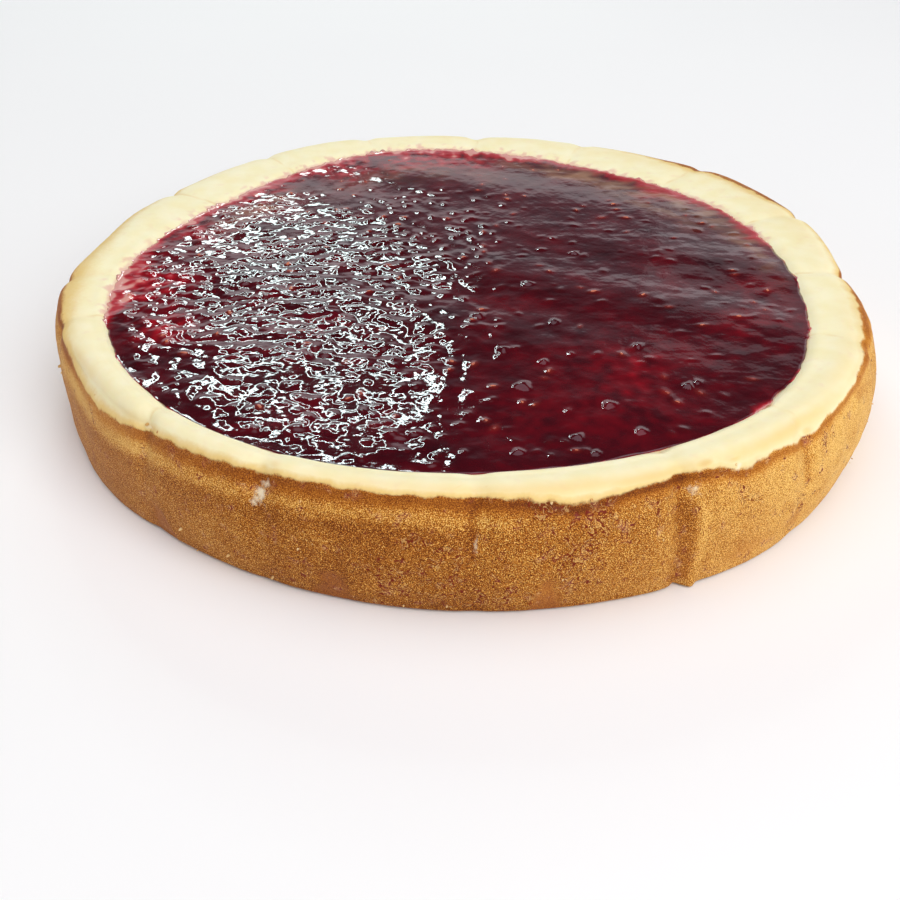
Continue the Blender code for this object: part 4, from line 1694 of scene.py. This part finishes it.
@dataclass
class Jelly:
    """The raspberry jelly as one closed mesh: a fine skin on top, a plain underside."""

    form: CakeForm
    shift: np.ndarray
    cells: int = 304
    crowding: float = 0.13
    feather: float = 1.2 * MM
    frayed: float = 1.1 * MM
    film: float = 0.24 * MM
    tuck: float = 0.10 * MM
    wave: float = 0.25 * MM
    lump: float = 0.20 * MM
    ridge: float = 0.29 * MM
    crinkle: float = 0.10 * MM
    dome: float = 0.38 * MM
    dome_half_size: tuple[float, float] = (1.5 * MM, 1.0 * MM)
    dome_reach: float = 4.0 * MM
    # Glow over a seed that is hidden, and over one that shows.
    glow_share: tuple[float, float] = (0.05, 0.42)
    bubble_wobble: float = 0.2
    hem_inward: float = 0.2 * MM
    hem_depth: float = 0.4 * MM
    underside_radii: tuple[float, ...] = (0.1045, 0.1015, 0.0985, 0.0950)

    def ripple(self, x: np.ndarray, y: np.ndarray) -> np.ndarray:
        """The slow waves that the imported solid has."""
        long_wave = np.sin(95.0 * x + 40.0 * y + 0.7) * np.cos(70.0 * y - 30.0 * x)
        return self.wave * (long_wave + 0.5 * np.sin(170.0 * y + 60.0 * x + 1.9))

    def smeared(self, angle: np.ndarray) -> np.ndarray:
        """How much the jelly's edge is a thin smear at an angle, 0 to 1."""
        return smooth_step(self.form.smear(angle) / (2.2 * MM))

    def edge(self, angle: np.ndarray) -> np.ndarray:
        """The jelly's feathered outer edge.

        Args:
            angle: Degrees round from +X.

        Returns:
            Distance from the axis at each angle.
        """
        smooth = self.form.jelly_edge(angle)
        turn = np.radians(angle)
        on_edge = np.stack([smooth * np.cos(turn), smooth * np.sin(turn), 0.0 * turn], -1)
        smeared = self.smeared(angle)
        coarse = Relief(31).at(on_edge, 11.0 * MM)
        fine = (0.25 + 0.75 * smeared) * Relief(32).at(on_edge, 3.8 * MM)
        frayed = smeared * self.frayed * Relief(33).at(on_edge, 1.8 * MM)
        return smooth + self.feather * (coarse + fine) + frayed

    def disc(self) -> tuple[np.ndarray, np.ndarray]:
        """Grid over a unit disc, finer at the front left.

        Returns:
            Distance from the middle, and degrees round from +X, of each vertex.
        """
        steps = np.linspace(-1.0, 1.0, self.cells + 1)
        steps += self.crowding * (steps**2 - 1.0)
        u, v = np.meshgrid(steps, steps)
        wide = np.abs(u) >= np.abs(v)
        long = np.where(wide, u, v)
        short = np.where(wide, v, u)
        ratio = np.divide(short, long, out=np.zeros_like(u), where=long != 0.0)
        turn = np.where(wide, ratio * math.pi / 4.0, math.pi / 2.0 - ratio * math.pi / 4.0)
        x = long * np.cos(turn)
        y = long * np.sin(turn)
        return np.hypot(x, y), np.degrees(np.arctan2(y, x))

    def stirred(self, flat: np.ndarray) -> np.ndarray:
        """How full of small ridges the skin is: most at the left and in the middle.

        Args:
            flat: Places, with x, y and 0 on the last axis.

        Returns:
            A share from 0 to 1 for each place.
        """
        x = flat[..., 0]
        y = flat[..., 1]
        left = smooth_step((0.016 - x) / 0.045)
        patchy = np.clip(0.92 + 0.5 * Relief(41).at(flat, 22.0 * MM), 0.0, 1.0)
        calm = smooth_step(0.62 + 1.05 * Relief(54).at(flat, 11.0 * MM))
        near = 1.0 - 0.86 * self.far(y)
        near *= 1.0 - 0.55 * hump(x + 0.086, 0.030) * hump(y - 0.026, 0.044)
        full = 0.90 * hump(np.hypot(x + 0.056, y + 0.022), 0.034)
        full += 0.40 * hump(x + 0.092, 0.018) * hump(y + 0.026, 0.030)
        return (0.24 + 0.76 * left * near * patchy) * (0.20 + 0.80 * calm) + full

    def far(self, y: np.ndarray) -> np.ndarray:
        """How much of the back of the cake a place is in, where the skin set smoother."""
        return smooth_step((y - 0.004) / 0.045)

    def dome_share(self, x: float, y: float) -> float:
        """How full the dome over a seed is: less on the right, and little at the back.

        Args:
            x: Where the seed is across.
            y: Where it is along.

        Returns:
            A share of the full dome.
        """
        share = 1.0 if x < 0.004 else 0.55 + 0.25 * float(smooth_step((-0.02 - y) / 0.02))
        share *= 1.0 - 0.9 * float(smooth_step((y - 0.046) / 0.026))
        return share * (1.0 + 0.5 * float(hump(y - 0.026, 0.026)))

    def skin(
        self, x: np.ndarray, y: np.ndarray, inward: np.ndarray, found: dict[str, np.ndarray]
    ) -> tuple[np.ndarray, np.ndarray, np.ndarray]:
        """Height of the jelly's skin, and its glow over seeds.

        Args:
            x: Distance across, one for each vertex.
            y: Distance along.
            inward: Distance in from the jelly's edge.
            found: The seeds.

        Returns:
            Height, thickness and glow of each vertex.
        """
        flat = np.stack([x, y, 0.0 * x], -1)
        stirred = self.stirred(flat)
        quiet = 1.0 - 0.6 * self.far(y)
        swell = self.lump * quiet * (0.45 + 0.55 * np.minimum(stirred, 1.0))
        relief = self.ripple(x, y) + swell * Relief(51).at(flat, 8.0 * MM)
        relief += self.ridge * stirred * Relief(52).at(flat, 4.5 * MM)
        relief += self.crinkle * (0.05 + 0.95 * stirred) * Relief(53).at(flat, 1.9 * MM)
        glow = np.zeros(x.shape)
        half_length, half_width = self.dome_half_size
        read = ("x", "y", "heading", "size", "shows", "own")
        for sx, sy, heading, size, shows, own in zip(*(found[name] for name in read)):
            near = np.nonzero(np.hypot(x - sx, y - sy) < self.dome_reach)
            dx = x[near] - sx
            dy = y[near] - sy
            along = (dx * math.cos(heading) + dy * math.sin(heading)) / (half_length * size)
            across = (dy * math.cos(heading) - dx * math.sin(heading)) / (half_width * size)
            bulge = np.exp(-(along**2) - across**2)
            relief[near] += self.dome * (0.30 + 0.85 * own) * bulge * self.dome_share(sx, sy)
            glow[near] = np.maximum(glow[near], bulge * self.glow_share[int(shows)])
        for bx, by, half_width_mm, high in BUBBLES:
            away = np.hypot(x - bx * MM, y - by * MM) / (half_width_mm * MM)
            turn = np.arctan2(y - by * MM, x - bx * MM)
            away *= 1.0 + self.bubble_wobble * np.sin(3.0 * turn + bx)
            relief += high * MM * np.maximum(1.0 - away**2, 0.0) ** 0.8
        angle = np.degrees(np.arctan2(y, x))
        cream = self.form.top_height(np.hypot(x, y), angle)
        settle = smooth_step(inward / (6.0 * MM))
        level = self.form.jelly_level + relief * (0.25 + 0.75 * settle)
        uneven = 0.75 + 0.6 * Relief(55).at(flat, 3.0 * MM)
        feathered = 1.0 - np.exp(-inward / (0.8 * MM))
        film = self.smeared(angle) * self.film * uneven * feathered - self.tuck
        over = level - cream - film
        thick = film + 0.5 * (over + np.sqrt(over**2 + (0.08 * MM) ** 2))
        return cream + thick, thick, glow

    def depth(
        self, flat: np.ndarray, inward: np.ndarray, thick: np.ndarray, angle: np.ndarray
    ) -> np.ndarray:
        """How deep the jelly looks, 0 in a pink film and 1 in the middle.

        Args:
            flat: Places, with x, y and 0 on the last axis.
            inward: Distance in from the jelly's edge.
            thick: The jelly's thickness.
            angle: Degrees round from +X.

        Returns:
            One number for each place.
        """
        smeared = self.smeared(angle)
        shown = thick / MM + 0.9 * (1.0 - smeared) * smooth_step((thick / MM + 0.05) / 0.15)
        cloudy = Relief(61).at(flat, 17.0 * MM)
        deep = smooth_step((shown + 0.25) / 1.5) * (0.84 + 0.14 * cloudy)
        mottled = 0.75 + 0.8 * Relief(62).at(flat, 3.6 * MM)
        reach = np.maximum(self.form.smear(angle), 0.5 * MM) * (1.9 + 1.2 * mottled)
        deep *= 1.0 - 0.80 * smeared * (1.0 - smooth_step(inward / reach))
        for x_mm, y_mm, half_width, thin in THIN_PLACES:
            away = np.hypot(flat[..., 0] - x_mm * MM, flat[..., 1] - y_mm * MM)
            deep -= thin * mottled * hump(away, half_width * MM)
        return deep

    def milky_and_sheen(self, flat: np.ndarray, inward: np.ndarray, angle: np.ndarray) -> np.ndarray:
        """How milky the jelly looks, 0 to 1: partly stirred-in curd and partly a painted tan reflection.

        Args:
            flat: Places, with x, y and 0 on the last axis.
            inward: Distance in from the jelly's edge.
            angle: Degrees round from +X.

        Returns:
            A share for each place.
        """
        wander = 3.0 * Relief(63).at(flat, 9.0 * MM)
        streaky = np.clip(0.75 + 1.1 * Relief(64).at(flat * (1.0, 2.2, 1.0), 9.0 * MM), 0.0, 1.0)
        share = np.zeros(angle.shape)
        for at, half_width, in_mm, half_depth, strength in MILKY_AND_SHEEN_BANDS:
            across = hump(inward / MM - in_mm - wander, half_depth)
            share = np.maximum(share, strength * across * hump(turn_between(angle, at), half_width))
        return share * streaky

    def build(self, found: dict[str, np.ndarray]) -> bpy.types.Object:
        """Make the mesh, store what its material reads, and ride it on the cake's body.

        Args:
            found: The seeds.

        Returns:
            The piece.
        """
        share, angle = self.disc()
        edge = self.edge(angle)
        out = share * edge
        x = out * np.cos(np.radians(angle))
        y = out * np.sin(np.radians(angle))
        inward = edge - out
        top, thick, glow = self.skin(x, y, inward, found)
        side = self.cells + 1
        grid = np.arange(side * side).reshape(side, side)
        quads = np.stack([grid[:-1, :-1], grid[:-1, 1:], grid[1:, 1:], grid[1:, :-1]], -1)
        faces = quads.reshape(-1, 4).tolist()
        rim = np.concatenate([grid[0, :-1], grid[:-1, -1], grid[-1, :0:-1], grid[:0:-1, 0]])
        points = [np.stack([x.ravel(), y.ravel(), top.ravel()], -1)]
        rim_angle = angle.ravel()[rim]
        rim_turn = np.radians(rim_angle)
        nominal = self.form.jelly_radius
        rings = [out.ravel()[rim] - self.hem_inward]
        rings += [self.form.jelly_edge(rim_angle) * r / nominal for r in self.underside_radii]
        count = side * side
        above = rim
        for number, ring in enumerate(rings):
            gap = -self.hem_depth if number == 0 else self.form.crumb_gap
            low = self.form.top_height(ring, rim_angle) + gap
            points.append(np.stack([ring * np.cos(rim_turn), ring * np.sin(rim_turn), low], -1))
            below = count + np.arange(len(rim))
            after = np.roll(below, -1)
            faces += np.stack([above, below, after, np.roll(above, -1)], -1).tolist()
            above = below
            count += len(rim)
        floor = self.form.rim_height - self.form.dish_depth + self.form.crumb_gap
        points.append(np.array([[0.0, 0.0, floor]]))
        faces += [(int(a), count, int(b)) for a, b in zip(above, np.roll(above, -1))]
        points = np.vstack(points) - self.shift
        piece = new_piece("raspberry_jelly", points, faces, RaspberryJelly().material())

        flat = np.stack([x, y, 0.0 * x], -1)
        # Milky tan: stirred-in curd, and a painted tan reflection at the back right.
        milky_and_sheen = self.milky_and_sheen(flat, inward, angle) * smooth_step(thick / MM / 0.5)
        put_attribute(piece, "deep", self.depth(flat, inward, thick, angle))
        put_attribute(piece, "glow", glow * smooth_step(thick / MM / 0.8))
        put_attribute(piece, "milky_and_sheen", milky_and_sheen)
        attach(piece, BODY)
        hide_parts("raspberry_topping")
        LOG.info("%s: %d faces", piece.name, len(piece.data.polygons))
        return piece

    def height_at(self, found: dict[str, np.ndarray]) -> np.ndarray:
        """Height of the skin at each seed.

        Args:
            found: The seeds.

        Returns:
            One number for each seed.
        """
        x, y = found["x"], found["y"]
        inward = self.edge(np.degrees(np.arctan2(y, x))) - np.hypot(x, y)
        return self.skin(x, y, inward, found)[0]


# ---------------------------------------------------------------- the studio


def facing(azimuth: float, elevation: float) -> Vector:
    """The direction of a place around the cake: azimuth 0 is behind it, 90 is to the right."""
    turn, rise = math.radians(azimuth), math.radians(elevation)
    return Vector((math.sin(turn) * math.cos(rise), math.cos(turn) * math.cos(rise), math.sin(rise)))


@dataclass(frozen=True)
class SoftLamp:
    """A rectangular lamp that faces the middle of the cake."""

    name: str
    middle: Vector
    size: tuple[float, float]
    brightness: float
    colour: int = 0xFFFFFF
    along: Vector | None = None

    def build(self) -> None:
        """Set the lamp up; its power follows from how bright its face looks."""
        data = bpy.data.lights.new(self.name, "AREA")
        data.shape = "RECTANGLE"
        data.size, data.size_y = self.size
        data.energy = self.brightness * math.pi * self.size[0] * self.size[1]
        data.color = linear(self.colour)[:3]
        lamp = bpy.data.objects.new(self.name, data)
        lamp.visible_camera = False
        away = self.middle.normalized()
        along = self.along or Vector((0.0, 0.0, 1.0)).cross(away)
        along = (along - along.dot(away) * away).normalized()
        turned = Matrix((along, away.cross(along), away)).transposed().to_4x4()
        lamp.matrix_world = Matrix.Translation(self.middle) @ turned
        bpy.context.scene.collection.objects.link(lamp)


@dataclass(frozen=True)
class LampRing:
    """Strip lamps in a tall oval, so that each small lump of a wet skin shows a bright loop.

    The strips are thin and bright at the top of the oval, and broader and dimmer at its foot; the
    ones on the right are thinner. The oval leans to the right by so many degrees for each degree
    that it climbs.
    """

    name: str
    azimuth: float
    elevation: float
    half_width: float
    half_height: float
    thickness: tuple[float, float]
    brightness: tuple[float, float]
    lean: float
    colour: int = 0xE2FCF6
    distance: float = 1.4
    strips: int = 10
    right_thinning: float = 0.2

    def build(self) -> None:
        """Set up each strip of the oval, end to end, facing the cake."""
        step = 2.0 * math.pi / self.strips
        for strip in range(self.strips):
            ends = []
            for turn in ((strip - 0.5) * step, (strip + 0.5) * step):
                climbed = self.half_height * math.sin(turn)
                across = self.azimuth + self.half_width * math.cos(turn) + self.lean * climbed
                rise = self.elevation + climbed
                ends.append(facing(across, rise) * self.distance)
            high = 0.5 + 0.5 * math.sin(strip * step)
            thick = self.thickness[1] + (1.0 - high) ** 2 * (self.thickness[0] - self.thickness[1])
            thick *= 1.0 - self.right_thinning * max(math.cos(strip * step), 0.0)
            bright = self.brightness[0] + high**2 * (self.brightness[1] - self.brightness[0])
            along = ends[1] - ends[0]
            size = (along.length, self.distance * math.radians(thick))
            middle = (ends[0] + ends[1]) / 2.0
            SoftLamp(f"{self.name}_{strip}", middle, size, bright, self.colour, along).build()


@dataclass
class Studio:
    """Pale floor, soft lamps, a surround that is light low down, and the camera."""

    shift: np.ndarray
    lens: float = 46.2
    distance: float = 0.336
    height: float = 0.1927
    look_down: float = 34.21
    lean: float = 1.27
    framing: float = -0.0211
    # Brightness of the surround by how many degrees up it is.
    surround_light: tuple[tuple[float, float], ...] = (
        (0.0, 0.88),
        (19.5, 0.86),
        (22.5, 0.30),
        (28.0, 0.15),
        (32.5, 0.06),
        (50.0, 0.04),
        (60.0, 1.4),
    )
    # The dark band of the ceiling, in degrees up, and how green its light and the walls' is.
    dark_band: tuple[float, float] = (20.0, 50.0)
    wall_green: float = 0.97
    band_green: float = 0.90

    def camera(self) -> None:
        """A hand-held camera just above the table, tipped slightly to one side."""
        data = bpy.data.cameras.new("camera")
        data.lens = self.lens
        data.sensor_width = 36.0
        data.shift_x = self.framing
        data.clip_start = 0.01
        camera = bpy.data.objects.new("camera", data)
        tilt = Matrix.Rotation(math.radians(90.0 - self.look_down), 4, "X")
        lean = Matrix.Rotation(math.radians(self.lean), 4, "Z")
        spot = Vector((0.0, -self.distance, self.height)) - Vector(self.shift)
        camera.matrix_world = Matrix.Translation(spot) @ tilt @ lean
        bpy.context.scene.collection.objects.link(camera)
        bpy.context.scene.camera = camera

    def floor(self) -> None:
        """A plain pale floor, matt, faintly uneven in tone."""
        mesh = bpy.data.meshes.new("floor")
        grid = bmesh.new()
        bmesh.ops.create_grid(grid, x_segments=1, y_segments=1, size=4.0)
        grid.to_mesh(mesh)
        grid.free()
        floor = bpy.data.objects.new("floor", mesh)
        bpy.context.scene.collection.objects.link(floor)
        material, tree, shader = new_material("matt_white_board")
        place = add_node(tree, "ShaderNodeTexCoord", out="Object")
        cloud = add_node(tree, "ShaderNodeTexNoise", {"Vector": place, "Scale": 3.0})
        stops = ((0.0, 0xF6F6F6), (1.0, 0xFBFBFA))
        ramp = add_node(tree, "ShaderNodeValToRGB", {"Fac": cloud}, stops=stops)
        tree.links.new(ramp, shader.inputs["Base Color"])
        shader.inputs["Roughness"].default_value = 0.8
        mesh.materials.append(material)

    def surround(self) -> None:
        """White walls low down, a dark ceiling band above them and a white ceiling."""
        world = bpy.data.worlds.new("surround")
        world.use_nodes = True
        tree = world.node_tree
        way = add_node(tree, "ShaderNodeTexCoord", out="Generated")
        up = add_node(tree, "ShaderNodeSeparateXYZ", {0: way}, "Z")
        ramp = add_node(tree, "ShaderNodeValToRGB", {"Fac": up})
        elements = ramp.node.color_ramp.elements
        for number, (rise, light) in enumerate(self.surround_light):
            if number > 1:
                elements.new(1.0)
            elements[number].position = math.sin(math.radians(rise))
            in_band = self.dark_band[0] < rise < self.dark_band[1]
            green = self.band_green if in_band else self.wall_green
            elements[number].color = (light, green * light, light, 1.0)
        tree.links.new(ramp, tree.nodes["Background"].inputs["Color"])
        bpy.context.scene.world = world

    def lamps(self) -> None:
        """A tall oval of strips behind on the left, a soft key in front, a faint glow behind."""
        LampRing("back_ring", -11.5, 33.4, 8.0, 7.2, (3.0, 0.6), (13.0, 66.0), 0.3).build()
        SoftLamp("front_key", facing(145.0, 42.0) * 1.5, (1.3, 1.0), 3.25).build()
        SoftLamp("right_glow", facing(27.0, 24.0) * 1.4, (0.68, 0.28), 0.22).build()

    def build(self) -> None:
        """Set everything up."""
        self.floor()
        self.surround()
        self.lamps()
        self.camera()
        bpy.context.scene.view_settings.view_transform = "Standard"


def main() -> None:
    """Build the cake and the studio, and note the sizes."""
    logging.basicConfig(level=logging.INFO, format="%(name)s: %(message)s")
    low, high = (np.array(corner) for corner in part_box("cheesecake"))
    form = CakeForm(rim_height=float(high[2]))
    shift = form.off_axis() - (low + high) / 2.0 * (1.0, 1.0, 0.0)
    LOG.info("the outline moves by %s mm", np.round(-shift / MM, 3))
    Studio(shift).build()
    BakedBody(form, shift).build()
    seeds = Seeds()
    found = seeds.scatter(form)
    jelly = Jelly(form, shift)
    jelly.build(found)
    seeds.place(found, jelly.height_at(found), shift)
    Crumbs().place(form, shift)


if __name__ == "__main__":
    main()
